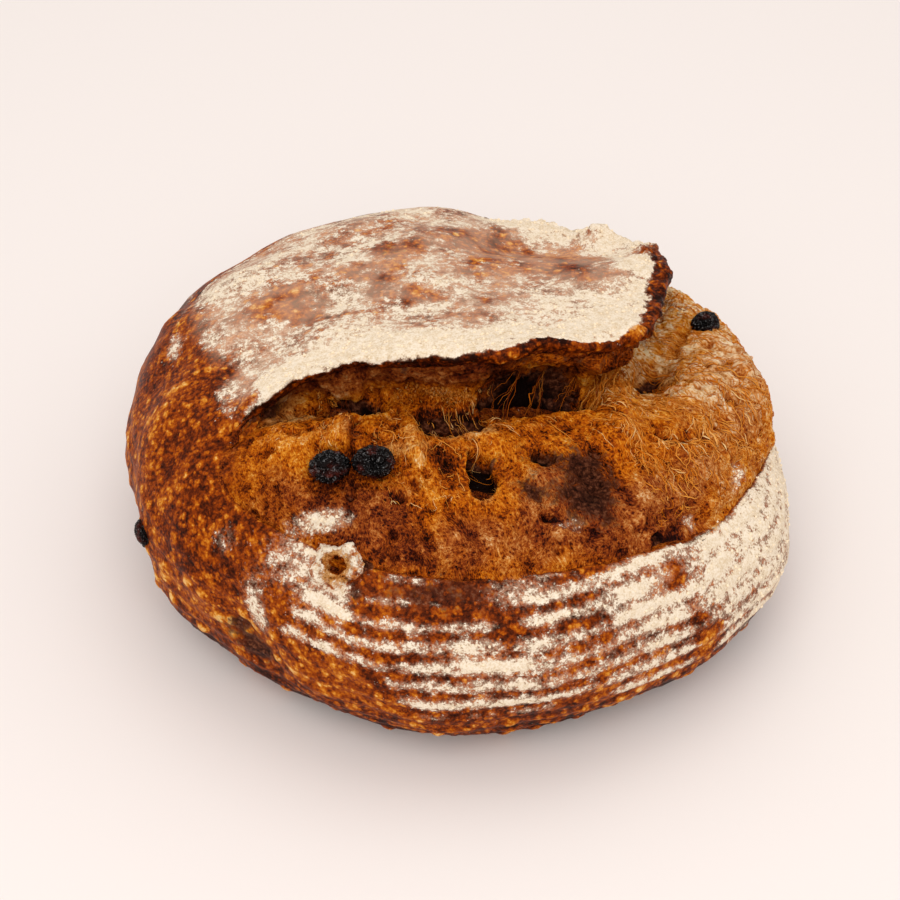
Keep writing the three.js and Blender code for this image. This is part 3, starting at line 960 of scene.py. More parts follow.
@dataclass(frozen=True)
class BakedDough:
    """Baked wheat dough: glossy caramelised crust, torn golden crumb, dry flour.

    The eye sees flecks of one to three millimetres where small blisters browned,
    fibres that browned along their crests, and flour grains that lie on top.
    """

    name: str = "baked_dough"
    # lump in millimetres, detail and roughness of each mottle
    mottles: tuple[tuple[str, float, float, float], ...] = (
        ("fleck", 1.5, 3, 0.6),
        ("patch", 5.0, 2, 0.55),
        ("drift", 24.0, 2, 0.55),
        ("speck", 0.8, 2, 0.6),
        ("grain", 0.7, 2, 0.7),
        ("lump", 2.4, 2, 0.6),
    )
    marks: tuple[str, ...] = ("flour", "torn", "bake", "burn", "blister", "pale", "skin", "film")
    crust: Stops = (
        (0.14, "#220a03"), (0.32, "#571f05"), (0.48, "#8c3905"),
        (0.63, "#b35c0a"), (0.8, "#d48a2c"), (1.0, "#eabb72"),
    )
    golden: Stops = (
        (0.1, "#160703"), (0.26, "#5c2105"), (0.42, "#a24806"),
        (0.58, "#ca7010"), (0.74, "#e09a36"), (0.95, "#f3dcae"),
    )
    browned: Stops = (
        (0.1, "#180807"), (0.27, "#42150b"), (0.44, "#7e3410"),
        (0.6, "#a65921"), (0.76, "#c58447"), (0.95, "#e4c196"),
    )
    cream: Stops = ((0.1, "#241105"), (0.3, "#74441c"), (0.5, "#b87d3e"), (0.7, "#dbab70"), (0.95, "#f0dcba"))
    # Charred colours, also used as painted shade in hollows, holes and the cavity under the flap.
    char: Stops = ((0.35, "#190905"), (0.52, "#452012"), (0.68, "#74442c"))
    soot_and_shade: str = "#120604"
    thin_flour: str = "#dcb698"
    dull_flour: str = "#d6bd98"
    clean_flour: str = "#f3e5d0"
    crust_roughness: float = 0.42
    flour_roughness: float = 0.95

    def sum_of(self, tree: Tree, parts: Parts, base: float = 0.0) -> Socket:
        """A base value plus each part times its weight.

        Args:
            tree: The material's tree.
            parts: Values and their weights.
            base: Value to start from.

        Returns:
            The sum.
        """
        total: Socket | float = base
        for part, weight in parts:
            inputs = {0: part, 1: weight, 2: total}
            total = add_node(tree, "ShaderNodeMath", {"operation": "MULTIPLY_ADD"}, inputs).outputs[0]
        return total

    def shown(self, tree: Tree, parts: Parts, base: float, low: float, high: float) -> Socket:
        """How strongly a layer shows, from a sum of values.

        Args:
            tree: The material's tree.
            parts: Values and their weights.
            base: Value to start from.
            low: Sum at which the layer begins to show.
            high: Sum at which it shows in full.

        Returns:
            An amount of 0 to 1.
        """
        inputs = {"Value": self.sum_of(tree, parts, base), "From Min": low, "From Max": high}
        return add_node(tree, "ShaderNodeMapRange", {"interpolation_type": "SMOOTHSTEP"}, inputs).outputs[0]

    def laid_over(self, tree: Tree, colour: Value, layers: list[tuple[Socket, Value]]) -> Socket:
        """Colours laid one after another over a first one.

        Args:
            tree: The material's tree.
            colour: The lowest colour.
            layers: Amount and colour of each layer, lowest first.

        Returns:
            The colour seen from above.
        """
        for amount, above in layers:
            inputs = {0: amount, 6: colour, 7: above}
            colour = add_node(tree, "ShaderNodeMix", {"data_type": "RGBA"}, inputs).outputs[2]
        return colour

    def strands(self, tree: Tree, flow: Socket, width: float) -> Socket:
        """Thin bright ridges that follow the way the dough tore.

        Args:
            tree: The material's tree.
            flow: Coordinates that run long along the tear.
            width: Width of a ridge in millimetres.

        Returns:
            1 on a ridge and 0 beside it.
        """
        inputs = {"Vector": flow, "Scale": 1000 / width, "Detail": 1.0, "Roughness": 0.55}
        wave = add_node(tree, "ShaderNodeTexNoise", None, inputs).outputs[0]
        centred = add_node(tree, "ShaderNodeMath", {"operation": "SUBTRACT"}, {0: wave, 1: 0.5}).outputs[0]
        away = add_node(tree, "ShaderNodeMath", {"operation": "ABSOLUTE"}, {0: centred}).outputs[0]
        return self.shown(tree, [(away, 1.0)], 0.0, 0.13, 0.0)

    def dots(self, tree: Tree, coords: Socket, size: float) -> Socket:
        """Small round blisters of uneven size.

        Args:
            tree: The material's tree.
            coords: Object coordinates.
            size: Usual distance between blisters in millimetres.

        Returns:
            1 on a blister and 0 beside it.
        """
        cells = add_node(tree, "ShaderNodeTexVoronoi", None, {"Vector": coords, "Scale": 1000 / size})
        luck = add_node(tree, "ShaderNodeSeparateColor", None, {0: cells.outputs[1]}).outputs[0]
        return self.shown(tree, [(luck, 0.5), (cells.outputs[0], -1.0)], 0.0, -0.05, 0.1)

    def pits(self, tree: Tree, coords: Socket, size: float) -> Socket:
        """Open pores.

        Args:
            tree: The material's tree.
            coords: Object coordinates.
            size: Width of a pore in millimetres.

        Returns:
            0 in a pore and 1 on the walls.
        """
        stirred = add_node(tree, "ShaderNodeTexNoise", None, {"Vector": coords, "Scale": 1000 / (2 * size)})
        inputs = {0: stirred.outputs[1], 1: (0.8 * size * MM,) * 3, 2: coords}
        moved = add_node(tree, "ShaderNodeVectorMath", {"operation": "MULTIPLY_ADD"}, inputs).outputs[0]
        cells = add_node(tree, "ShaderNodeTexVoronoi", None, {"Vector": moved, "Scale": 1000 / size})
        return self.shown(tree, [(cells.outputs[0], 1.0)], 0.0, 0.12, 0.5)

    def build(self) -> Finish:
        """Makes the material; it reads the piece's own marks and Object coordinates.

        Returns:
            The material.
        """
        material, tree, shader = blank_finish(self.name)
        coords = add_node(tree, "ShaderNodeTexCoord").outputs["Object"]
        seen = {}
        for mark in self.marks:
            seen[mark] = add_node(tree, "ShaderNodeAttribute", {"attribute_name": mark}).outputs["Fac"]
        for name, size, detail, roughness in self.mottles:
            inputs = {"Vector": coords, "Scale": 1000 / size, "Detail": detail, "Roughness": roughness}
            seen[name] = add_node(tree, "ShaderNodeTexNoise", None, inputs).outputs[0]
        flow = add_node(tree, "ShaderNodeAttribute", {"attribute_name": "flow"}).outputs["Vector"]
        seen["strand"] = self.strands(tree, flow, 1.0)
        seen["thread"] = self.strands(tree, flow, 0.5)
        seen["pit"] = self.pits(tree, coords, 1.5)
        seen["dots"] = self.dots(tree, coords, 1.9)
        seen["dapples"] = self.dots(tree, coords, 3.6)

        def parts(**weights: float) -> Parts:
            """Values by name with their weights."""
            return [(seen[name], weight) for name, weight in weights.items()]

        # The baking mark also carries painted light and shade: darker hollows, holes and foot, paler crests
        # and underside.
        crust_bake_and_shade = self.sum_of(tree, parts(fleck=0.85, patch=0.6, drift=0.5, dots=0.15, dapples=0.16,
                                        blister=0.55, speck=0.3, bake=1.0), -1.26)
        crumb_bake_and_shade = self.sum_of(tree, parts(strand=0.16, thread=0.1, pit=0.16, fleck=0.5, patch=0.7,
                                          speck=0.3, bake=1.0), -1.13)
        colours = {}
        for name, value in (("crust", crust_bake_and_shade), ("golden", crumb_bake_and_shade), ("browned", crumb_bake_and_shade), ("cream", crumb_bake_and_shade),
                            ("char", seen["fleck"])):
            node = add_node(tree, "ShaderNodeValToRGB", {"stops": getattr(self, name)}, {"Fac": value})
            colours[name] = node.outputs[0]
        skinned = self.shown(tree, parts(skin=1.0, patch=0.8), -0.4, 0.1, 0.9)
        paled = self.shown(tree, parts(pale=1.0, patch=0.8), -0.4, 0.2, 1.0)
        # Painted shade: the near-black and charred layers also darken hollows, holes and the cavity under the
        # flap.
        sooty_and_shaded = self.shown(tree, parts(burn=1.0), 0.0, 1.1, 1.6)
        burnt_and_shaded = self.shown(tree, parts(burn=0.8, patch=1.3, fleck=1.1), -1.2, 0.35, 0.8)
        dusted = parts(flour=1.0, grain=1.0, lump=1.3)
        cover = self.shown(tree, dusted, -1.15, 0.36, 0.58)
        haze = self.shown(tree, dusted, -1.15, 0.0, 0.46)
        dusty = self.shown(tree, parts(flour=1.0), 0.0, 0.04, 0.42)
        thin = add_node(tree, "ShaderNodeMath", {"operation": "MULTIPLY"}, {0: haze, 1: dusty}).outputs[0]
        thin = self.sum_of(tree, [(thin, 0.5), *parts(film=1.0)])
        clean = self.shown(tree, parts(grain=0.6, lump=0.4), 0.0, 0.3, 0.65)
        bakes = [(skinned, colours["browned"]), (paled, colours["cream"])]
        crumb = self.laid_over(tree, colours["golden"], bakes)
        char = self.laid_over(tree, colours["char"], [(sooty_and_shaded, linear(self.soot_and_shade))])
        dust = self.laid_over(tree, linear(self.dull_flour), [(clean, linear(self.clean_flour))])
        colour = self.laid_over(tree, colours["crust"], [
            (seen["torn"], crumb), (burnt_and_shaded, char), (thin, linear(self.thin_flour)), (cover, dust),
        ])
        tree.links.new(colour, shader.inputs["Base Color"])
        rough = add_node(tree, "ShaderNodeMapRange", None,
                         {"Value": cover, "To Min": self.crust_roughness, "To Max": self.flour_roughness})
        tree.links.new(rough.outputs[0], shader.inputs["Roughness"])
        fibrous = self.sum_of(tree, parts(strand=0.45, thread=0.2, pit=0.4))
        blistered = self.sum_of(tree, parts(dots=0.3, dapples=0.45))
        skin = self.sum_of(tree, parts(torn=-1.0), 1.0)
        for name, height, amount in (("fibrous", fibrous, seen["torn"]), ("blistered", blistered, skin)):
            node = add_node(tree, "ShaderNodeMath", {"operation": "MULTIPLY"}, {0: height, 1: amount})
            seen[name] = node.outputs[0]
        seen["cover"] = cover
        height = self.sum_of(tree, parts(fleck=0.3, speck=0.2, grain=0.25, cover=0.5,
                                         blistered=1.0, fibrous=1.0))
        inputs = {"Height": height, "Strength": 0.7, "Distance": 0.5 * MM}
        bump = add_node(tree, "ShaderNodeBump", None, inputs)
        tree.links.new(bump.outputs[0], shader.inputs["Normal"])
        gloss = self.sum_of(tree, parts(torn=-0.02, cover=-0.02), 0.04)
        tree.links.new(gloss, shader.inputs["Specular IOR Level"])
        return material


@dataclass(frozen=True)
class CrumbFibre:
    """Torn gluten strands, dried and browned in the oven: thin, dry, golden."""

    name: str = "crumb_fibre"
    roughness: float = 0.6

    def build(self) -> Finish:
        """Makes the material; each strand's own tone picks its colour.

        Returns:
            The material.
        """
        material, tree, shader = blank_finish(self.name)
        tone = add_node(tree, "ShaderNodeAttribute", {"attribute_name": "tone"}).outputs["Fac"]
        stops = [(0.0, "#3a1208"), (0.25, "#8c3808"), (0.5, "#c86a10"), (0.75, "#e69a40"), (1.0, "#f3cf92")]
        colour = add_node(tree, "ShaderNodeValToRGB", {"stops": stops}, {"Fac": tone}).outputs[0]
        tree.links.new(colour, shader.inputs["Base Color"])
        shader.inputs["Roughness"].default_value = self.roughness
        shader.inputs["Specular IOR Level"].default_value = 0.03
        return material


@dataclass(frozen=True)
class DriedFruit:
    """Raisin skin: near-black, deeply creased, with the dull gloss of sugary skin."""

    name: str = "raisin_skin"
    crease: float = 1.1
    roughness: float = 0.27

    def build(self) -> Finish:
        """Makes the material from noise on Object coordinates.

        Returns:
            The material.
        """
        material, tree, shader = blank_finish(self.name)
        coords = add_node(tree, "ShaderNodeTexCoord").outputs["Object"]
        inputs = {"Vector": coords, "Scale": 1000 / self.crease, "Detail": 3.0}
        creases = add_node(tree, "ShaderNodeTexNoise", None, inputs).outputs[0]
        blush = add_node(tree, "ShaderNodeTexNoise", None, {"Vector": coords, "Scale": 1000 / 6.0}).outputs[0]
        stops = [(0.4, "#070505"), (0.55, "#120807"), (0.68, "#4a1a12")]
        colour = add_node(tree, "ShaderNodeValToRGB", {"stops": stops}, {"Fac": blush}).outputs[0]
        tree.links.new(colour, shader.inputs["Base Color"])
        line = add_node(tree, "ShaderNodeAttribute", {"attribute_name": "crest"}).outputs["Fac"]
        here = add_node(tree, "ShaderNodeMapRange", {"interpolation_type": "SMOOTHSTEP"},
                        {"Value": creases, "From Min": 0.42, "From Max": 0.62}).outputs[0]
        crest = add_node(tree, "ShaderNodeMath", {"operation": "MULTIPLY"}, {0: line, 1: here}).outputs[0]
        glint = add_node(tree, "ShaderNodeMath", {"operation": "MULTIPLY_ADD"}, {0: crest, 1: 1.9, 2: 0.05})
        tree.links.new(glint.outputs[0], shader.inputs["Specular IOR Level"])
        inputs = {"Height": creases, "Strength": 0.7, "Distance": 0.5 * MM}
        bump = add_node(tree, "ShaderNodeBump", None, inputs)
        tree.links.new(bump.outputs[0], shader.inputs["Normal"])
        shader.inputs["Roughness"].default_value = self.roughness
        return material


# Pieces


@dataclass
class Box:
    """The space that the solids take, in millimetres, which no piece may leave."""

    low: Array
    high: Array
    margin: float = 0.05

    def hold(self, points: Array) -> Array:
        """Points pulled back inside the box."""
        return np.clip(points, self.low + self.margin, self.high - self.margin)


@dataclass
class Crust:
    """The whole crust as one closed sheet, sunk where the torn crumb covers it."""

    form: LoafForm
    marks: LoafMarks
    box: Box
    finish: Finish
    columns_front: int = 425
    columns_back: int = 50
    front: Span = (190, 440)
    rows_top: int = 78
    rows_side: int = 92
    skin_inset: float = 0.35

    def rows(self) -> tuple[Array, Array, Array]:
        """Zone, share and hidden depth of each row from crown to base.

        Returns:
            The three, row by row.
        """
        zone, share, depth = [], [], []

        def lay(kind: Zone, shares: Array, depths: Array | float) -> None:
            """Adds rows of one zone."""
            shares = np.atleast_1d(shares)
            zone.extend([int(kind)] * len(shares))
            share.extend(shares.tolist())
            depth.extend(np.broadcast_to(depths, shares.shape).tolist())

        lay(Zone.TOP, np.arange(1, self.rows_top + 1) / self.rows_top, 0.0)
        lay(Zone.RIM, np.arange(1, 8) / 7, 0.0)
        lay(Zone.UNDERSIDE, np.array([0.06, 0.14, 0.22, 0.32, 0.45, 0.6, 0.8, 1.0]),
            np.array([0, 0.0, 1.5, 3, 3.6, 4.2, 4.5, 5.5]))
        lay(Zone.CRUMB, np.array([0.1, 0.2, 0.3, 0.42, 0.55, 0.7, 0.85, 0.955, 0.98, 1.0]),
            np.array([7.5, 9, 9, 9, 9, 9, 9, 8, 4, 0]))
        lay(Zone.SIDE, (np.arange(1, self.rows_side + 1) / self.rows_side) ** 1.12, 0.0)
        lay(Zone.BASE, np.array([0.1]), 0.0)
        return np.array(zone), np.array(share), np.array(depth)

    def azimuths(self) -> Array:
        """Azimuth of each column, closer together across the front.

        Returns:
            Azimuths in degrees.
        """
        start, end = self.front
        front = np.linspace(start, end, self.columns_front, endpoint=False)
        back = np.linspace(end, start + 360, self.columns_back, endpoint=False)
        return np.concatenate([front, back])

    def relief(self, sheet: Sheet, rings: Array, flour: Array) -> tuple[Array, Array]:
        """Fine relief of the crust.

        Args:
            sheet: The crust's grid.
            rings: Basket rings over the grid.
            flour: Amount of flour over the grid.

        Returns:
            Height in millimetres, and how much of it is blister, from 0 to 1.
        """
        points = sheet.points
        x, y, z = points[..., 0], points[..., 1], points[..., 2]
        fade = smooth(z / 6)
        on_side = sheet.on(Zone.SIDE)
        bare = 1 - smooth(flour / 0.5)
        away, name = nearest_cell(points * np.array([1, 1, 0.75]), 3.4, 61)
        small = (1 - smooth(away / 0.62)) * smooth((name - 0.25) / 0.2)
        lower_left = smooth((-20 - x) / 50) * smooth((60 - z) / 20) * smooth((-10 - y) / 30)
        under = smooth((34 - z) / 14)
        away, name = nearest_cell(points, 7.0, 67)
        large = (1 - smooth((away - 0.18) / 0.28)) * smooth((name - 0.3) / 0.2)
        large = large * np.maximum(lower_left, 0.8 * under)
        rough = layered_noise(points, 10, 71, 3)
        height = 0.3 * rough + 0.3 * small * bare + 0.95 * large
        height = height + np.where(on_side, 0.3 * rings * smooth((70 - z) / 10), 0)
        height = height + 0.25 * smooth(flour / 0.6) * layered_noise(points, 3, 73, 2)
        edge = sheet.on(Zone.RIM) | sheet.roof
        edge = edge | (sheet.on(Zone.TOP) & (sheet.share > 0.93))
        ragged = edge * smooth(sheet.opened / 0.2)
        ragged = ragged * (0.2 + 0.15 * sheet.past(270, 30) + 0.85 * sheet.past(325, 20))
        height = height + ragged * (1.6 * layered_noise(points, 4.5, 79, 3) + 0.4)
        for knob in self.marks.knobs:
            height = height + knob.height(sheet.bare)
        height = height * fade - spots_at(self.marks.sockets, sheet.bare)
        return height, np.clip(small * bare * 0.7 + large, 0, 1)

    def build(self) -> Piece:
        """Builds the crust and dresses it.

        Returns:
            The crust.
        """
        zone, share, depth = self.rows()
        sheet = Sheet(self.form, zone, share, self.azimuths(), True)
        rings = self.marks.ring_wave(sheet)
        flour = self.marks.flour(sheet, rings)
        height, blister = self.relief(sheet, rings, flour)
        opened = smooth((sheet.opened - 0.12) / 0.15)
        deep = smooth((sheet.opened - 0.4) / 0.3) * (1 - sheet.past(366, 14))
        sunk = np.minimum(depth[:, None], 3 + 7 * deep) * opened * (1 - sheet.past(398, 9))
        hidden = smooth(sunk / 1.5)
        shift = height * (1 - hidden) - self.skin_inset - sunk
        flat = sheet.on(Zone.BASE) | (sheet.on(Zone.SIDE) & (sheet.share > 0.999))
        shift = np.where(flat, 0, shift)
        points = self.box.hold(sheet.points + shift[..., None] * sheet.normals)
        points[..., 2] = np.where(flat, 0, points[..., 2])
        crown = points[0].mean(0) + np.array([0, 0, 0.02])
        foot = np.array([*self.form.centring_shift[:2], 0.0])
        rows, columns = points.shape[:2]
        torn = self.torn_amount(sheet)
        bake = self.bake(sheet)
        burn = spots_at(self.marks.burns, sheet.points)
        marks = {}
        on_flap = sheet.on(Zone.TOP) * smooth((self.marks.flap_side(sheet.points) + 2) / 10)
        film = 0.42 * on_flap * smooth(0.65 + layered_noise(sheet.points, 12, 89, 3))
        film = film * smooth((0.93 - sheet.share) / 0.05)
        layers = {"flour": flour, "torn": torn, "bake": bake, "burn": burn, "blister": blister,
                  "film": film, "pale": 0 * flour, "skin": 0.7 * torn,
                  "clump": smooth((flour - 0.45) / 0.3) * (1 - hidden)}
        for mark, values in layers.items():
            marks[mark] = np.concatenate([values.ravel(), [values[0].mean(), values[-1].mean()]])
        corners = np.concatenate([points.reshape(-1, 3), [crown, foot]])
        marks["flow"] = corners * MM
        piece = make_mesh("crust", corners, grid_faces(rows, columns, True), end_caps(rows, columns), marks)
        piece.data.materials.append(self.finish)
        return piece

    def torn_amount(self, sheet: Sheet) -> Array:
        """How far the surface counts as torn crumb, from 0 to 1.

        Args:
            sheet: The crust's grid.

        Returns:
            The amount at each point.
        """
        rough = layered_noise(sheet.points, 7, 83, 2)
        opened = smooth(sheet.opened / 0.12)
        inside = sheet.crumb | sheet.roof
        return np.where(inside, opened * smooth(0.8 + rough), 0) * (1 - sheet.past(398, 10))

    def bake(self, sheet: Sheet) -> Array:
        """Paler (above 0.5) or darker (below) baking of the crust, with painted shade towards the foot and
        painted light on the rim where it faces the front.

        Args:
            sheet: The crust's grid.

        Returns:
            The bake at each point.
        """
        points = sheet.points
        value = 0.5 + 0.1 * layered_noise(points, 30, 87, 2)
        value = value + 0.25 * spots_at(self.marks.orange_spots, points)
        # The last term is painted shade: darker towards the foot.
        value = value + 0.06 * sheet.on(Zone.TOP) - 0.2 * (1 - smooth((points[..., 2] - 8) / 30))
        torn = smooth(sheet.opened / 0.2)
        rim = sheet.on(Zone.RIM) | sheet.roof
        rim = rim | (sheet.on(Zone.TOP) & (sheet.share > 0.94) & (sheet.degrees > 330))
        # Painted light: the rim's darkening is eased where it faces the front.
        lit = sheet.past(290, 14) * (1 - sheet.past(340, 10))
        return np.where(rim, value - (0.17 - 0.08 * lit) * torn, value)


@dataclass
class TornCrumb:
    """The torn crumb and the flap's underside, as a closed slab tucked under both edges."""

    form: LoafForm
    marks: LoafMarks
    box: Box
    finish: Finish
    columns_front: int = 590
    columns_back: int = 36
    rows_under: int = 34
    rows_crumb: int = 104
    slab: float = 3.5

    def rows(self) -> tuple[Array, Array, Array]:
        """Zone, share and tuck of each row of the upper sheet.

        Returns:
            The three, row by row.
        """
        under = np.linspace(0.08, 1, self.rows_under)
        crumb = np.linspace(1 / self.rows_crumb, 1, self.rows_crumb)
        side = np.array([0.006, 0.012, 0.018])
        zone = np.concatenate([np.full(len(under), Zone.UNDERSIDE), np.full(len(crumb), Zone.CRUMB),
                               np.full(len(side), Zone.SIDE)])
        share = np.concatenate([under, crumb, side])
        near_rim = 1.6 * (1 - smooth((under - 0.1) / 0.12))
        tuck = np.concatenate([near_rim, np.zeros(len(crumb)), [1.2, 1.9, 2.4]])
        return zone.astype(int), share, tuck

    def azimuths(self) -> Array:
        """Azimuth of each column, closer together where the photograph looks.

        Returns:
            Azimuths in degrees.
        """
        start, end = self.form.opening
        front = np.linspace(start + 0.4, 388, self.columns_front, endpoint=False)
        back = np.linspace(388, end - 32, self.columns_back)
        return np.concatenate([front, back])

    def flow(self, sheet: Sheet) -> Array:
        """Coordinates in millimetres that run long in the direction the dough tore.

        Args:
            sheet: The crumb's grid.

        Returns:
            The coordinates of each point.
        """
        points = sheet.points
        warp = np.stack([gradient_noise(points, 9, seed) for seed in (101, 103, 107)], -1)
        curl = np.stack([gradient_noise(points, 4, seed) for seed in (102, 104, 108)], -1)
        along = np.where(sheet.crumb, sheet.share, 3 * (sheet.share - 1)) * 62 + 0 * sheet.degrees
        stretch = 0.62 - 0.38 * sheet.past(300, 50)
        across = sheet.degrees * DEG * 88 + self.lean(sheet.degrees) * along
        return np.stack([across, along * stretch, points[..., 2] * 0.15], -1) + 2.0 * warp + 0.6 * curl

    def lean(self, degrees: Array) -> Array:
        """How far the strands lean back round the loaf, as across over along."""
        return 0.0055 * (degrees - 268)

    def relief(self, sheet: Sheet, flow: Array) -> Array:
        """Torn relief in millimetres: pulled ridges, bubbles and loose crumb.

        Args:
            sheet: The crumb's grid.
            flow: Coordinates along the tear.

        Returns:
            The height at each point.
        """
        points = sheet.points
        warp = np.stack([gradient_noise(points, 7, seed) for seed in (111, 112, 114)], -1)
        right = sheet.past(315, 30)
        ridges = 1 - 2.4 * np.abs(gradient_noise(flow, 4.2, 109))
        fine = 1 - 2.4 * np.abs(gradient_noise(flow, 2.0, 113))
        lumps = layered_noise(points, 13, 127, 3)
        away, name = nearest_cell(points + 1.8 * warp, 7.0, 131)
        bubbles = (1 - smooth((away - 0.14) / 0.34)) * smooth((name - 0.5) / 0.15)
        away, name = nearest_cell(points + 0.8 * warp, 3.1, 137)
        pores = (1 - smooth(away / 0.42)) * smooth((name - 0.35) / 0.2)
        pulled = (0.3 + 0.75 * right) * ridges + (0.14 + 0.3 * right) * fine
        bare = sheet.bare + 1.3 * np.stack([gradient_noise(points, 5, seed) for seed in (115, 116, 117)], -1)
        knobbly = 1.5 * layered_noise(points, 4.5, 133, 3) - 1.0 * pores
        height = np.where(sheet.roof, knobbly, pulled)
        height = height + 0.8 * right * layered_noise(points, 6.5, 163, 2)
        height = height + 1.5 * lumps - (2.0 + 0.8 * right) * bubbles - (0.8 + 0.5 * right) * pores
        height = height + 0.2 * gradient_noise(points, 1.4, 139)
        for detail in CRUMB_DETAILS:
            height = height + detail.height_seen_flat(bare)
        along_face = sheet.past(288, 15) * (1 - sheet.past(345, 12))
        face = along_face * np.sin(math.pi * np.clip(sheet.share / 0.62, 0, 1)) * sheet.roof
        back = sheet.past(394, 12)
        return (height + 4.0 * face) * (1 - 0.7 * back) - 3.0 * back

    def build(self) -> Piece:
        """Builds the crumb and dresses it.

        Returns:
            The crumb; its surface is kept for the strands.
        """
        zone, share, tuck = self.rows()
        sheet = Sheet(self.form, zone, share, self.azimuths(), False)
        opened = sheet.opened
        ends = smooth((opened - 0.04) / 0.14) * (1 - sheet.past(397, 10))
        flow = self.flow(sheet)
        relief = self.relief(sheet, flow)
        near_cut = np.where(sheet.crumb, sheet.below(0.9, 0.1), 0) + sheet.on(Zone.SIDE)
        quiet = 1 - 0.65 * near_cut
        shift = relief * ends * quiet - 0.2 - 0.4 * near_cut - tuck[:, None] * ends - 0.9 * (1 - ends)
        upper = self.box.hold(sheet.points + shift[..., None] * sheet.normals)
        self.sheet = sheet
        self.surface = upper
        self.surface_normals = sheet.normals_of(upper)
        lower_rows = np.linspace(len(share) - 1, 0, 16).round().astype(int)
        inner = 6.5 * smooth((0.97 - sheet.share) / 0.1) * smooth((opened - 0.4) / 0.3)
        inner = inner * (1 - sheet.past(366, 14))
        deep = np.where(sheet.roof, self.slab * (0.1 + 0.9 * sheet.share), self.slab + inner)
        thick = 0.7 + (deep + 0.6) * smooth(opened / 0.3)
        lower = sheet.points[lower_rows] - (thick[..., None] * sheet.normals)[lower_rows]
        loop = np.concatenate([upper, lower], 0)
        rows, columns = loop.shape[:2]
        faces = grid_faces(rows, columns, False)
        join = np.arange(columns - 1)
        last = (rows - 1) * columns
        faces = np.concatenate([faces, np.stack([last + join, join, join + 1, last + join + 1], -1)])
        ends_at = np.arange(rows) * columns
        centres = [loop[:, 0].mean(0), loop[:, -1].mean(0)]
        count = rows * columns
        after = np.roll(ends_at, -1)
        first_cap = np.stack([np.full(rows, count), after, ends_at], -1)
        last_cap = np.stack([np.full(rows, count + 1), ends_at + columns - 1, after + columns - 1], -1)
        corners = np.concatenate([loop.reshape(-1, 3), centres])
        marks = {}
        for mark, values in self.layers(sheet, relief).items():
            whole = np.concatenate([values, values[lower_rows]], 0).ravel()
            marks[mark] = np.concatenate([whole, [0.0, 0.0]])
        whole = np.concatenate([flow, flow[lower_rows]], 0).reshape(-1, 3)
        marks["flow"] = np.concatenate([whole, np.zeros((2, 3))]) * MM
        piece = make_mesh("torn_crumb", corners, faces, np.concatenate([first_cap, last_cap]), marks)
        piece.data.materials.append(self.finish)
        return piece

    def layers(self, sheet: Sheet, relief: Array) -> dict[str, Array]:
        """The marks that the finish reads, over the upper sheet.

        Args:
            sheet: The crumb's grid.
            relief: Its torn relief.

        Returns:
            Values of each mark by name.
        """
        points = sheet.points
        rough = layered_noise(points, 7, 83, 2)
        broad = layered_noise(points, 18, 149, 3)
        opened = smooth(sheet.opened / 0.12)
        from_left = sheet.degrees - self.form.opening[0]
        torn = smooth((from_left + 5 * rough - 1) / 9) * opened
        near_cut = np.where(sheet.crumb, sheet.below(0.72, 0.26), 0) + sheet.on(Zone.SIDE)
        under = np.where(sheet.roof, 1 - sheet.below(0.55, 0.4), 0)
        right = sheet.past(318, 25) * sheet.crumb
        # Painted light: the upper right of the crumb is made paler, and the relief term paints shade into
        # hollows and light onto crests.
        bright = sheet.past(332, 22) * smooth((0.75 - sheet.share) / 0.3) * sheet.crumb
        streak = gradient_noise(self.flow(sheet) * np.array([1, 0.5, 1]), 6, 161)
        bake = 0.57 + 0.12 * right + 0.2 * bright + (0.1 - 0.03 * right) * np.clip(relief, -3, 1.0)
        bake = bake + 0.1 * broad + 0.09 * streak
        # Painted light makes the flap's underside paler along the front; painted shade darkens it just under
        # the lip.
        edge = sheet.roof * sheet.past(272, 10)
        bake = bake + 0.06 * edge + edge * (0.04 * sheet.past(292, 14) - 0.07 * sheet.past(328, 8))
        bake = bake + 0.12 * sheet.roof * (1 - sheet.past(244, 12))
        shaded = sheet.past(288, 10) * (1 - sheet.past(348, 10))
        bake = bake - 0.26 * shaded * sheet.roof * (1 - sheet.below(0.3, 0.4))
        pale = spots_at(self.marks.pale_spots, sheet.bare) * smooth(0.6 + broad)
        upper = sheet.past(332, 16) * smooth((0.8 - sheet.share) / 0.3) * sheet.crumb
        pale = pale + 0.75 * upper * smooth(0.4 + 1.2 * gradient_noise(points, 8, 167))
        skin = spots_at(self.marks.skin_spots, sheet.bare) + 0.1 * near_cut + 0.4 * right
        skin = skin + 0.5 * layered_noise(points, 12, 151, 2)
        skin = skin + (0.9 - 0.7 * sheet.past(296, 14)) * under
        # Painted shade: hollows of the relief, deep bubbles and the cavity under the flap are darkened
        # through the same mark as the charred spots.
        deep = smooth((-relief - 2.8) / 2.2) * sheet.crumb
        burn = spots_at(self.marks.burns, sheet.bare) + 0.12 * smooth((-relief - 1) / 2) + 1.1 * deep
        face = (0.36 + 0.14 * sheet.past(292, 20)) * (1 - sheet.below(0.16, 0.3))
        face = face + 0.06 * under + 0.3 * broad + 0.7 * (1 - sheet.past(230, 4))
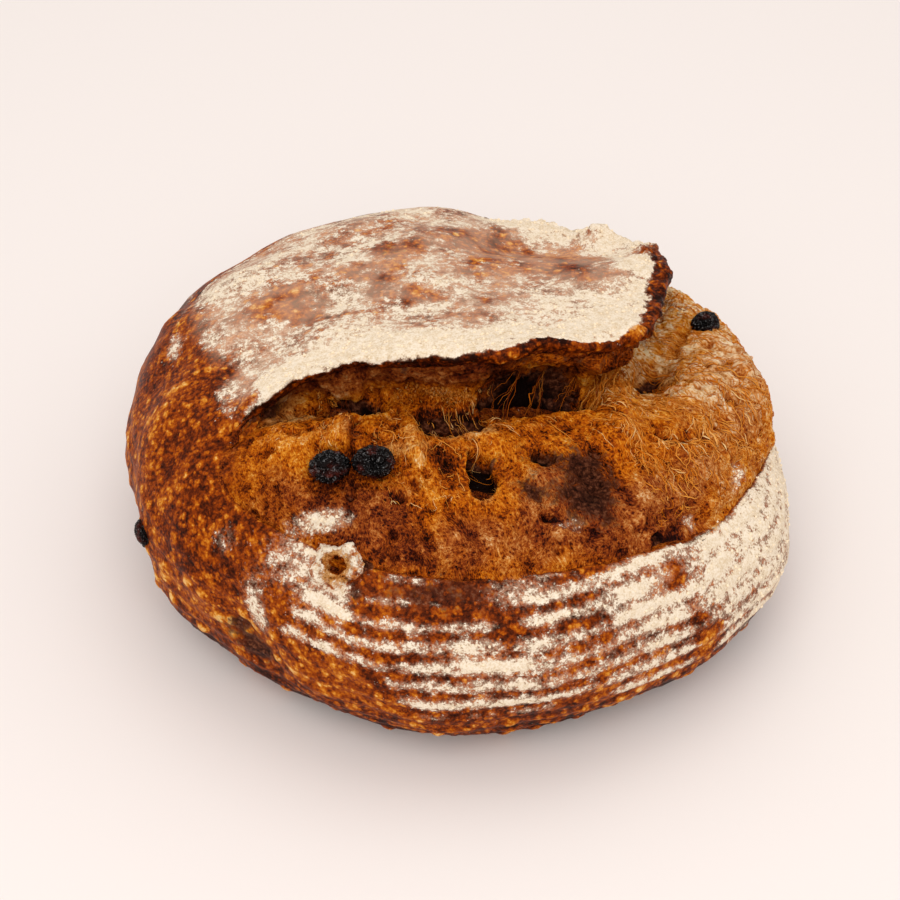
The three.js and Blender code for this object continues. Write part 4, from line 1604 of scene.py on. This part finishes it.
        # Painted shade in the cavity under the flap.
        cavity = sheet.past(306, 5) * (1 - sheet.past(314, 14))
        cavity = cavity * np.where(sheet.roof, smooth((88 - points[..., 2]) / 3),
                                   1 - sheet.below(0.04, 0.06))
        burn = burn + np.where(sheet.roof, face, 0) + 1.3 * cavity * (sheet.zone <= Zone.CRUMB)
        flour = spots_at(self.marks.flour_spots, sheet.bare) - 0.1 + 0.22 * near_cut * smooth(broad)
        return {"flour": flour * np.ones_like(relief), "torn": torn, "bake": bake, "burn": burn,
                "blister": np.zeros_like(relief), "pale": pale, "skin": skin,
                "clump": 2 * smooth((flour - 0.2) / 0.3)}


@dataclass(frozen=True)
class Thatch:
    """A patch of strands: where they grow on the crumb and how they lie."""

    count: int
    degrees: Span
    rows: Span
    length: Span
    curl: float
    spread: float
    width: Span
    lift: float
    tone: float
    steps: int = 7


@dataclass
class Fibres:
    """Strands of crumb: some lie on the surface, some hang or are pulled taut."""

    crumb: TornCrumb
    finish: Finish
    box: Box
    long_steps: int = 13
    seed: int = 20
    # short strands in the middle, at the left, on the pillar and along the flap's fringe
    laid: tuple[Thatch, ...] = (
        Thatch(500, (262, 322), (38, 100), (1.5, 6), 1.9, 1.6, (0.06, 0.15), 0.15, 0.62),
        Thatch(300, (232, 264), (36, 80), (1.2, 4), 1.8, 1.6, (0.06, 0.14), 0.15, 0.62),
        Thatch(1100, (334, 357), (10, 50), (1.0, 3.2), 3.8, 3.0, (0.08, 0.22), 0.6, 0.47),
        Thatch(700, (240, 306), (26, 37), (0.8, 2.6), 3.2, 2.8, (0.06, 0.15), 0.4, 0.6),
    )
    # combed strands at the right, then tangled ones over them
    combed: tuple[Thatch, ...] = (
        Thatch(1100, (318, 390), (36, 118), (3, 10), 0.8, 0.3, (0.08, 0.2), 0.14, 0.64),
        Thatch(900, (314, 390), (36, 128), (2, 5), 1.6, 1.2, (0.09, 0.22), 0.14, 0.6),
    )
    # long cords at the right and in the middle
    cords: tuple[Thatch, ...] = (
        Thatch(80, (322, 384), (38, 96), (9, 20), 0.5, 0.2, (0.12, 0.26), 0.3, 0.64, 13),
        Thatch(22, (264, 316), (38, 84), (6, 13), 0.8, 0.5, (0.1, 0.18), 0.3, 0.68, 13),
    )

    def at(self, row: Array, column: Array) -> tuple[Array, Array]:
        """Point and normal of the crumb's surface at fractional rows and columns.

        Args:
            row: Fractional rows.
            column: Fractional columns.

        Returns:
            Points and unit normals.
        """
        surface, normals = self.crumb.surface, self.crumb.surface_normals
        row = np.clip(row, 0, surface.shape[0] - 1.001)
        column = np.clip(column, 0, surface.shape[1] - 1.001)
        i, j = row.astype(int), column.astype(int)
        a, b = (row - i)[..., None], (column - j)[..., None]
        found = []
        for grid in (surface, normals):
            upper = grid[i, j] * (1 - b) + grid[i, j + 1] * b
            lower = grid[i + 1, j] * (1 - b) + grid[i + 1, j + 1] * b
            found.append(upper * (1 - a) + lower * a)
        return found[0], found[1]

    def column_of(self, degrees: Array) -> Array:
        """Fractional column of each azimuth in degrees."""
        azimuths = self.crumb.azimuths()
        return np.interp(degrees, azimuths, np.arange(len(azimuths)))

    def lay(self, patch: Thatch, rng: np.random.Generator) -> tuple[Array, Array, Array]:
        """Strands that wander over the surface.

        Args:
            patch: Where and how they lie.
            rng: Source of chance.

        Returns:
            Paths, half widths and tones.
        """
        count = patch.count
        shape = (count, patch.steps + 1)
        share = np.linspace(0, 1, patch.steps + 1)[None, :]
        column = self.column_of(rng.uniform(*patch.degrees, 4 * count))
        row = rng.uniform(*patch.rows, 4 * count)
        spot, _ = self.at(row, column)
        thick = gradient_noise(spot, 9, 301) + 0.8 * gradient_noise(spot, 4, 303)
        thick = thick + 0.3 * rng.uniform(size=4 * count)
        thick = thick - 3 * smooth(spots_at(self.crumb.marks.burns, spot) / 0.5)
        chosen = np.argsort(-thick)[:int(1.5 * count)]
        chosen = rng.permutation(chosen)[:count]
        column, row = column[chosen], row[chosen]
        length = patch.length[0] + (patch.length[1] - patch.length[0]) * rng.beta(1.3, 3, count)
        turns = rng.normal(0, patch.curl / math.sqrt(patch.steps), shape)
        azimuth = np.interp(column, np.arange(len(self.crumb.azimuths())), self.crumb.azimuths())
        sweep = 0.8 * gradient_noise(self.at(row, column)[0], 11, 307)
        turns[:, 0] = rng.normal(0, patch.spread, count) + sweep - self.crumb.lean(azimuth)
        angle = np.cumsum(turns, 1)
        run = (length / patch.steps)[:, None]
        down = np.cumsum(np.cos(angle) * run / 0.6, 1)
        across = np.cumsum(np.sin(angle) * run / 0.5, 1)
        surface, normal = self.at(row[:, None] + down, column[:, None] + across)
        arch = np.minimum(rng.gamma(1.5, patch.lift, count), 1.0)[:, None] * np.sin(math.pi * share)
        wobble = np.cumsum(rng.normal(0, 0.1, shape), 1)
        paths = surface + (arch + 0.4 * wobble + 0.02)[..., None] * normal
        width = rng.uniform(*patch.width, count) * np.where(rng.uniform(size=count) < 0.12, 1.7, 1.0)
        clumped = 0.14 * gradient_noise(surface[:, 0], 7, 305)
        return paths, width, np.clip(rng.normal(patch.tone, 0.13, count) + clumped, 0.05, 1)

    def pull(self, count: int, degrees: Span, rows: Span, feet: Span, whole: float, tone: float,
             rng: np.random.Generator) -> tuple[Array, Array, Array]:
        """Strands pulled from the flap's underside towards the crumb below.

        Args:
            count: How many strands.
            degrees: Azimuths between which they grow.
            rows: Rows of the crumb's sheet that they leave from.
            feet: Rows that they reach for.
            whole: Share of them that arrive; the others broke off and hang.
            tone: Their middle tone.
            rng: Source of chance.

        Returns:
            Paths, half widths and tones.
        """
        share = np.linspace(0, 1, self.long_steps + 1)[None, :]
        tufts = max(count // 18, 3)
        tuft = rng.integers(0, tufts, count)
        middle = rng.uniform(*degrees, tufts)[tuft]
        azimuth = middle + rng.normal(0, 0.5, count)
        start, _ = self.at(rng.uniform(*rows, count), self.column_of(azimuth))
        foot = self.column_of(middle - 0.22 * (middle - 268)) + rng.normal(0, 3, count)
        end, _ = self.at(rng.uniform(*feet, count), foot)
        reach = np.where(rng.uniform(size=count) < whole, 1.0, rng.uniform(0.15, 0.6, count))[:, None]
        run = end - start
        far = np.linalg.norm(run, axis=-1)
        sag = (rng.uniform(-0.05, 0.12, count) * far)[:, None] * np.sin(math.pi * share * reach)
        paths = start[:, None] + run[:, None] * (share * reach)[..., None]
        paths = paths - sag[..., None] * np.array([0, 0, 1.0])
        shared = np.cumsum(rng.normal(0, 0.45, (tufts, self.long_steps + 1, 3)), 1)[tuft]
        wander = shared + np.cumsum(rng.normal(0, 0.22, (*paths.shape[:2], 3)), 1)
        paths = paths + wander * np.sin(math.pi * share * np.where(reach < 1, 0.5, 1))[..., None]
        width = rng.uniform(0.06, 0.14, count) * np.where(rng.uniform(size=count) < 0.12, 2.0, 1.0)
        return paths, width, np.clip(rng.normal(tone, 0.17, count), 0.05, 1)

    def build(self) -> list[Piece]:
        """Builds the strands as three meshes of thin three-sided tubes.

        Returns:
            The short, the combed and the hanging strands.
        """
        rng = np.random.default_rng(self.seed)
        combed = [self.lay(patch, rng) for patch in self.combed]
        strands = [self.lay(patch, rng) for patch in self.laid]
        hanging = [
            *(self.lay(patch, rng) for patch in self.cords),
            self.pull(80, (335, 355), (10, 35), (37, 54), 0.7, 0.55, rng),
            self.pull(20, (309, 333), (22, 30), (38, 44), 0.1, 0.34, rng),
            self.pull(24, (238, 266), (28, 35), (37, 44), 0.4, 0.52, rng),
            self.pull(34, (276, 294), (28, 35), (38, 46), 0.25, 0.5, rng),
            self.pull(12, (298, 325), (28, 35), (40, 48), 0.1, 0.4, rng),
        ]
        pieces = []
        groups = {"crumb_fibres": strands, "combed_fibres": combed, "hanging_fibres": hanging}
        for name, group in groups.items():
            paths = self.box.hold(np.concatenate([s[0] for s in group]))
            width = np.concatenate([s[1] for s in group])
            pieces.append(self.tubes(name, paths, width, np.concatenate([s[2] for s in group])))
        return pieces

    def tubes(self, name: str, paths: Array, width: Array, tone: Array) -> Piece:
        """Closed tapering tubes along paths.

        Args:
            name: Name of the piece.
            paths: Points of each strand, strands in the first axis.
            width: Half width of each strand in millimetres.
            tone: Colour of each strand, 0 dark to 1 pale.

        Returns:
            The mesh object.
        """
        count, stops = paths.shape[:2]
        way = np.gradient(paths, axis=1)
        way /= np.linalg.norm(way, axis=-1, keepdims=True) + 1e-9
        side = np.cross(way, np.array([0.31, 0.17, 0.93]))
        side /= np.linalg.norm(side, axis=-1, keepdims=True) + 1e-9
        other = np.cross(way, side)
        share = np.linspace(0, 1, stops)
        taper = 0.25 + 0.75 * np.sin(math.pi * np.clip(share, 0.02, 0.98)) ** 0.5
        radius = width[:, None] * taper[None, :]
        rings = []
        for k in range(3):
            turn = 2 * math.pi * k / 3
            rings.append(paths + radius[..., None] * (math.cos(turn) * side + math.sin(turn) * other))
        corners = np.stack(rings, 2)
        number = np.arange(count * stops * 3).reshape(count, stops, 3)
        quads = []
        for k in range(3):
            n = (k + 1) % 3
            corner = [number[:, :-1, k], number[:, :-1, n], number[:, 1:, n], number[:, 1:, k]]
            quads.append(np.stack(corner, -1))
        caps = [number[:, 0, ::-1], number[:, -1, :]]
        tones = np.repeat(tone, stops * 3)
        piece = make_mesh(name, corners.reshape(-1, 3), np.concatenate([q.reshape(-1, 4) for q in quads]),
                          np.concatenate(caps), {"tone": tones})
        piece.data.materials.append(self.finish)
        return piece


@dataclass
class BurstBlister:
    """A blister that burst at the edge of the lower crust: a ragged ring about a hole."""

    finish: Finish
    place: Place = (-39.3, -97.3, 76)
    facing: Place = (-0.25, -0.68, 0.69)
    ring_radius: float = 6.0
    ring_rise: float = 2.2
    hole_radius: float = 2.5
    hole_depth: float = 3.4
    skirt: float = 1.55
    columns: int = 120
    rows: int = 44

    def height(self, away: Array, around: Array, rough: Array) -> Array:
        """Height above the crust at a distance from the middle.

        Args:
            away: Distance in millimetres.
            around: Angle in radians.
            rough: Noise over the same points.

        Returns:
            Height in millimetres.
        """
        wander = 1 + 0.16 * np.sin(2 * around + 0.6) + 0.1 * np.sin(5 * around + 2) + 0.12 * rough
        ring = away / (self.ring_radius * wander)
        crest = self.ring_rise * (0.75 + 0.4 * np.sin(3 * around + 1)) * np.exp(-(((ring - 1) / 0.27) ** 2))
        hole = 1 - smooth((away / wander - 0.75 * self.hole_radius) / (0.5 * self.hole_radius))
        inner = -0.9 * (1 - smooth((ring - 0.3) / 0.5))
        sunk = 3.2 * smooth((ring - 1.12) / (self.skirt - 1.12))
        return crest + inner - self.hole_depth * hole - sunk + 0.35 * rough

    def build(self) -> Piece:
        """Builds the ring and dresses it.

        Returns:
            The ring.
        """
        up = np.array(self.facing) / np.linalg.norm(self.facing)
        side = np.cross(np.array([0, 0, 1.0]), up)
        side /= np.linalg.norm(side)
        other = np.cross(up, side)
        away = (np.linspace(0.04, 1, self.rows) * self.ring_radius * self.skirt)[:, None]
        around = (2 * math.pi * np.arange(self.columns) / self.columns)[None, :]
        flat = away[..., None] * (np.cos(around)[..., None] * side + np.sin(around)[..., None] * other)
        centre = np.array(self.place)
        rough = layered_noise(centre + flat, 2.6, 401, 3)
        height = self.height(away + 0 * around, around + 0 * away, rough)
        shift = 0.5 * layered_noise(centre + flat, 2, 403, 2)[..., None] * flat / (away[..., None] + 1)
        points = centre + flat + shift + height[..., None] * up
        caps = end_caps(self.rows, self.columns)
        corners = np.concatenate([points.reshape(-1, 3), [points[0].mean(0), centre - 5 * up]])
        share = away / self.ring_radius + 0 * around
        hole = 1 - smooth((share * self.ring_radius - self.hole_radius) / 0.8)
        crest = np.exp(-(((share - 1.02) / 0.25) ** 2))
        upper = 0.5 + 0.5 * np.cos(around - 2.1)
        flour = 0.02 + (0.35 + 0.45 * upper) * crest + 0.5 * rough + 0.3 * smooth((share - 1.1) / 0.3) - hole
        # Painted shade darkens the hole through the baking and charred-spot marks.
        layers = {"flour": flour,
                  "torn": 1 - 0.6 * smooth((share - 1) / 0.2), "bake": 0.66 + 0.2 * rough - 0.25 * hole,
                  "burn": 0.1 * hole + 0.3 * smooth(-rough * 3), "blister": 0 * share,
                  "pale": 0.8 * (1 - hole) * (1 - smooth((share - 1) / 0.3)), "skin": 0.4 + 0 * share}
        marks = {mark: np.concatenate([values.ravel(), [0.0, 0.0]]) for mark, values in layers.items()}
        marks["flow"] = corners * MM
        piece = make_mesh("burst_blister", corners, grid_faces(self.rows, self.columns, True), caps, marks)
        piece.data.materials.append(self.finish)
        return piece


@dataclass
class FlourClumps:
    """Small clumps of caked flour, scattered over a floured piece by geometry nodes."""

    name: str
    finish: Finish
    box: Box
    density: float = 100000.0
    smallest: float = 0.18
    largest: float = 0.62
    raggedness: float = 0.64
    seed: int = 5

    def tree(self) -> Tree:
        """The node group: points where the clump mark is strong, an uneven grain on each.

        Returns:
            The node group.
        """
        tree = bpy.data.node_groups.new(self.name, "GeometryNodeTree")
        tree.interface.new_socket("Geometry", in_out="INPUT", socket_type="NodeSocketGeometry")
        for label in ("Density", "Smallest", "Largest", "Raggedness"):
            tree.interface.new_socket(label, in_out="INPUT", socket_type="NodeSocketFloat")
        tree.interface.new_socket("Finish", in_out="INPUT", socket_type="NodeSocketMaterial")
        tree.interface.new_socket("Geometry", in_out="OUTPUT", socket_type="NodeSocketGeometry")
        given = add_node(tree, "NodeGroupInput").outputs
        mark = add_node(tree, "GeometryNodeInputNamedAttribute", {"data_type": "FLOAT"}, {"Name": "clump"})
        inputs = {0: mark.outputs[0], 1: given["Density"]}
        wanted = add_node(tree, "ShaderNodeMath", {"operation": "MULTIPLY"}, inputs).outputs[0]
        spots = add_node(tree, "GeometryNodeDistributePointsOnFaces", None,
                         {"Mesh": given["Geometry"], "Density": wanted, "Seed": self.seed})
        grain = add_node(tree, "GeometryNodeMeshIcoSphere", None, {"Radius": 1.0, "Subdivisions": 1})
        size = add_node(tree, "FunctionNodeRandomValue", {"data_type": "FLOAT"},
                        {"Min": given["Smallest"], "Max": given["Largest"], "Seed": self.seed + 1}).outputs[1]
        turn = add_node(tree, "FunctionNodeRandomValue", {"data_type": "FLOAT_VECTOR"},
                        {"Min": (0.0, 0.0, 0.0), "Max": (6.2, 6.2, 6.2), "Seed": self.seed + 2}).outputs[0]
        inputs = {"Points": spots.outputs["Points"], "Instance": grain.outputs[0],
                  "Rotation": turn, "Scale": size}
        placed = add_node(tree, "GeometryNodeInstanceOnPoints", None, inputs)
        solid = add_node(tree, "GeometryNodeRealizeInstances", None, {"Geometry": placed.outputs[0]})
        waves = add_node(tree, "ShaderNodeTexNoise", None, {"Scale": 1500.0}).outputs[1]
        inputs = {0: waves, 1: (0.5, 0.5, 0.5)}
        centred = add_node(tree, "ShaderNodeVectorMath", {"operation": "SUBTRACT"}, inputs)
        shove = add_node(tree, "ShaderNodeVectorMath", {"operation": "SCALE"},
                         {0: centred.outputs[0], "Scale": given["Raggedness"]}).outputs[0]
        inputs = {"Geometry": solid.outputs[0], "Offset": shove}
        uneven = add_node(tree, "GeometryNodeSetPosition", None, inputs).outputs[0]
        dressed = add_node(tree, "GeometryNodeSetMaterial", None,
                           {"Geometry": uneven, "Material": given["Finish"]}).outputs[0]
        add_node(tree, "NodeGroupOutput", None, {"Geometry": dressed})
        return tree

    def build(self, ground: Piece) -> Piece:
        """Scatters the clumps over a piece.

        Args:
            ground: The floured piece; its clump mark says where they gather.

        Returns:
            The clumps as one plain mesh object.
        """
        tree = self.tree()
        piece = bpy.data.objects.new(self.name, ground.data)
        bpy.context.scene.collection.objects.link(piece)
        scatter = piece.modifiers.new(self.name, "NODES")
        scatter.node_group = tree
        values = {"Density": self.density, "Smallest": self.smallest * MM, "Largest": self.largest * MM,
                  "Raggedness": self.raggedness * MM, "Finish": self.finish}
        for item in tree.interface.items_tree:
            if item.name in values:
                scatter[item.identifier] = values[item.name]
        seen = piece.evaluated_get(bpy.context.evaluated_depsgraph_get())
        mesh = bpy.data.meshes.new_from_object(seen)
        mesh.name = self.name
        points = np.zeros(len(mesh.vertices) * 3)
        mesh.vertices.foreach_get("co", points)
        held = self.box.hold(points.reshape(-1, 3) / MM) * MM
        mesh.vertices.foreach_set("co", held.ravel())
        piece.modifiers.clear()
        piece.data = mesh
        return piece


@dataclass(frozen=True)
class CakedFlour:
    """Caked wheat flour: dry, matt and cream white."""

    name: str = "caked_flour"
    colour: str = "#f7e6c9"

    def build(self) -> Finish:
        """Makes the material.

        Returns:
            The material.
        """
        material, _, shader = blank_finish(self.name)
        shader.inputs["Base Color"].default_value = linear(self.colour)
        shader.inputs["Roughness"].default_value = 0.95
        shader.inputs["Specular IOR Level"].default_value = 0.1
        return material


@dataclass
class Raisins:
    """Four wrinkled raisins, each in the place of its own solid."""

    finish: Finish
    rows: int = 90
    columns: int = 150

    def build_one(self, name: str, centre: Place, half: Place,
                  turn: float, seed: int) -> Piece:
        """Builds one raisin.

        Args:
            name: Name of the piece.
            centre: Its middle in millimetres, before centring.
            half: Its half sizes in millimetres.
            turn: Its turn about +Z in degrees.
            seed: Picks its wrinkles.

        Returns:
            The mesh object.
        """
        polar = np.linspace(0, math.pi, self.rows + 2)[1:-1][:, None]
        around = (2 * math.pi * np.arange(self.columns) / self.columns)[None, :]
        flat = np.sin(polar)
        way = np.stack([flat * np.cos(around), flat * np.sin(around), np.cos(polar) + 0 * around], -1)
        way = np.concatenate([way.reshape(-1, 3), [[0, 0, 1], [0, 0, -1]]])
        warp = np.stack([gradient_noise(way, 0.5, seed + k) for k in (1, 2, 3)], -1)
        folds = np.abs(gradient_noise(way + 0.25 * warp, 0.5, seed))
        creases = np.abs(gradient_noise(way + 0.15 * warp, 0.17, seed + 9))
        size = 0.9 - 0.16 * (1 - smooth(folds / 0.25)) + 0.09 * (1 - smooth(creases / 0.3))
        size = size + 0.1 * gradient_noise(way, 0.9, seed + 13)
        points = way * np.minimum(size, 1)[:, None] * np.array(half)
        c, s = math.cos(turn * DEG), math.sin(turn * DEG)
        points = points @ np.array([[c, s, 0], [-s, c, 0], [0, 0, 1]])
        points = points + np.array(centre) + np.array(LoafForm().centring_shift)
        caps = end_caps(self.rows, self.columns)
        crest = (1 - smooth(creases / 0.16)) * smooth(folds / 0.12)
        piece = make_mesh(name, points, grid_faces(self.rows, self.columns, True), caps, {"crest": crest})
        piece.data.materials.append(self.finish)
        return piece

    def build(self) -> dict[str, Piece]:
        """Builds all four, by the name of the node that each replaces.

        Returns:
            The four skins.
        """
        return {
            "raisin_left": self.build_one("raisin_left_skin", (-41, -68, 93.6), (7.1, 6, 5.4), 15, 211),
            "raisin_right": self.build_one("raisin_right_skin", (-26.8, -67, 95), (7.4, 6, 5.3), -10, 223),
            "raisin_back": self.build_one("raisin_back_skin", (91.5, 30.6, 76), (6, 5, 4.5), 40, 227),
            "raisin_side": self.build_one("raisin_side_skin", (-107.2, -51, 48), (3.6, 5.3, 5.6), 25, 229),
        }


@dataclass
class Studio:
    """Pale floor, soft light from above and from the front, and the camera."""

    lens: float = 85
    elevation: float = 41
    distance: float = 0.764
    target: Place = (-0.0027, -0.0109, 0.05)
    floor_colour: str = "#f2ebe7"

    def build(self) -> None:
        """Adds floor, lights, world and camera."""
        scene = bpy.context.scene
        scene.view_settings.view_transform = "Standard"
        half = 3.0
        corners = np.array([(-half, -half, 0), (half, -half, 0), (half, half, 0), (-half, half, 0)]) * 1000
        floor = make_mesh("floor", corners, np.array([[0, 1, 2, 3]]), np.zeros((0, 3), int), {})
        card, _, shader = blank_finish("pale_card")
        shader.inputs["Base Color"].default_value = linear(self.floor_colour)
        shader.inputs["Roughness"].default_value = 0.9
        shader.inputs["Specular IOR Level"].default_value = 0.1
        floor.data.materials.append(card)
        floor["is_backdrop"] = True
        world = bpy.data.worlds.new("soft_room")
        scene.world = world
        world.use_nodes = True
        world.node_tree.nodes["Background"].inputs[0].default_value = linear("#fffaf7")
        world.node_tree.nodes["Background"].inputs[1].default_value = 0.85
        self.lamp("key", (0.1, 0.25, 1.2), 0.7, 1.4)
        self.lamp("fill", (-0.1, -0.85, 1.0), 1.0, 5.6)
        camera = bpy.data.cameras.new("camera")
        camera.lens = self.lens
        camera.sensor_width = 36
        seen = bpy.data.objects.new("camera", camera)
        scene.collection.objects.link(seen)
        tilt = self.elevation * DEG
        seen.location = Vector(self.target) + Vector((0, -math.cos(tilt), math.sin(tilt))) * self.distance
        seen.rotation_euler = (math.pi / 2 - tilt, 0, 0)
        scene.camera = seen

    def lamp(self, name: str, place: Place, size: float, power: float) -> None:
        """Adds a square soft light that points at the loaf.

        Args:
            name: Its name.
            place: Where it stands, in metres.
            size: Width in metres.
            power: Power in watts.
        """
        light = bpy.data.lights.new(name, "AREA")
        light.energy = power
        light.size = size
        lamp = bpy.data.objects.new(name, light)
        bpy.context.scene.collection.objects.link(lamp)
        lamp.location = place
        lamp.rotation_euler = (Vector((0, 0, 0.05)) - Vector(place)).to_track_quat("-Z", "Y").to_euler()


def place_in_frame(piece: Piece, node: str) -> None:
    """Lets a piece ride on the loaf and stand for its node.

    Args:
        piece: The finished piece.
        node: The solid that it stands for.
    """
    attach(piece, "root")
    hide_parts(node)
    LOG.info("%s: %d faces", piece.name, len(piece.data.polygons))


def main() -> None:
    """Builds the dressed loaf and its studio."""
    logging.basicConfig(level=logging.INFO, format="%(message)s")
    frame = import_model()
    cad_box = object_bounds()
    LOG.info("%d solids in the frame", len(frame["nodes"]))
    box = Box(np.array(cad_box[0]) * 1000, np.array(cad_box[1]) * 1000)
    form = LoafForm()
    marks = LoafMarks()
    dough = BakedDough().build()
    crust = Crust(form, marks, box, dough).build()
    crumb = TornCrumb(form, marks, box, dough)
    torn = crumb.build()
    flour = CakedFlour().build()
    place_in_frame(FlourClumps("crust_flour", flour, box).build(crust), "loaf")
    place_in_frame(FlourClumps("crumb_flour", flour, box).build(torn), "loaf")
    place_in_frame(crust, "loaf")
    place_in_frame(torn, "loaf")
    place_in_frame(BurstBlister(dough).build(), "loaf")
    fibres = Fibres(crumb, CrumbFibre().build(), box)
    for piece in fibres.build():
        place_in_frame(piece, "loaf")
    for node, piece in Raisins(DriedFruit().build()).build().items():
        place_in_frame(piece, node)
    Studio().build()


if __name__ == "__main__":
    main()
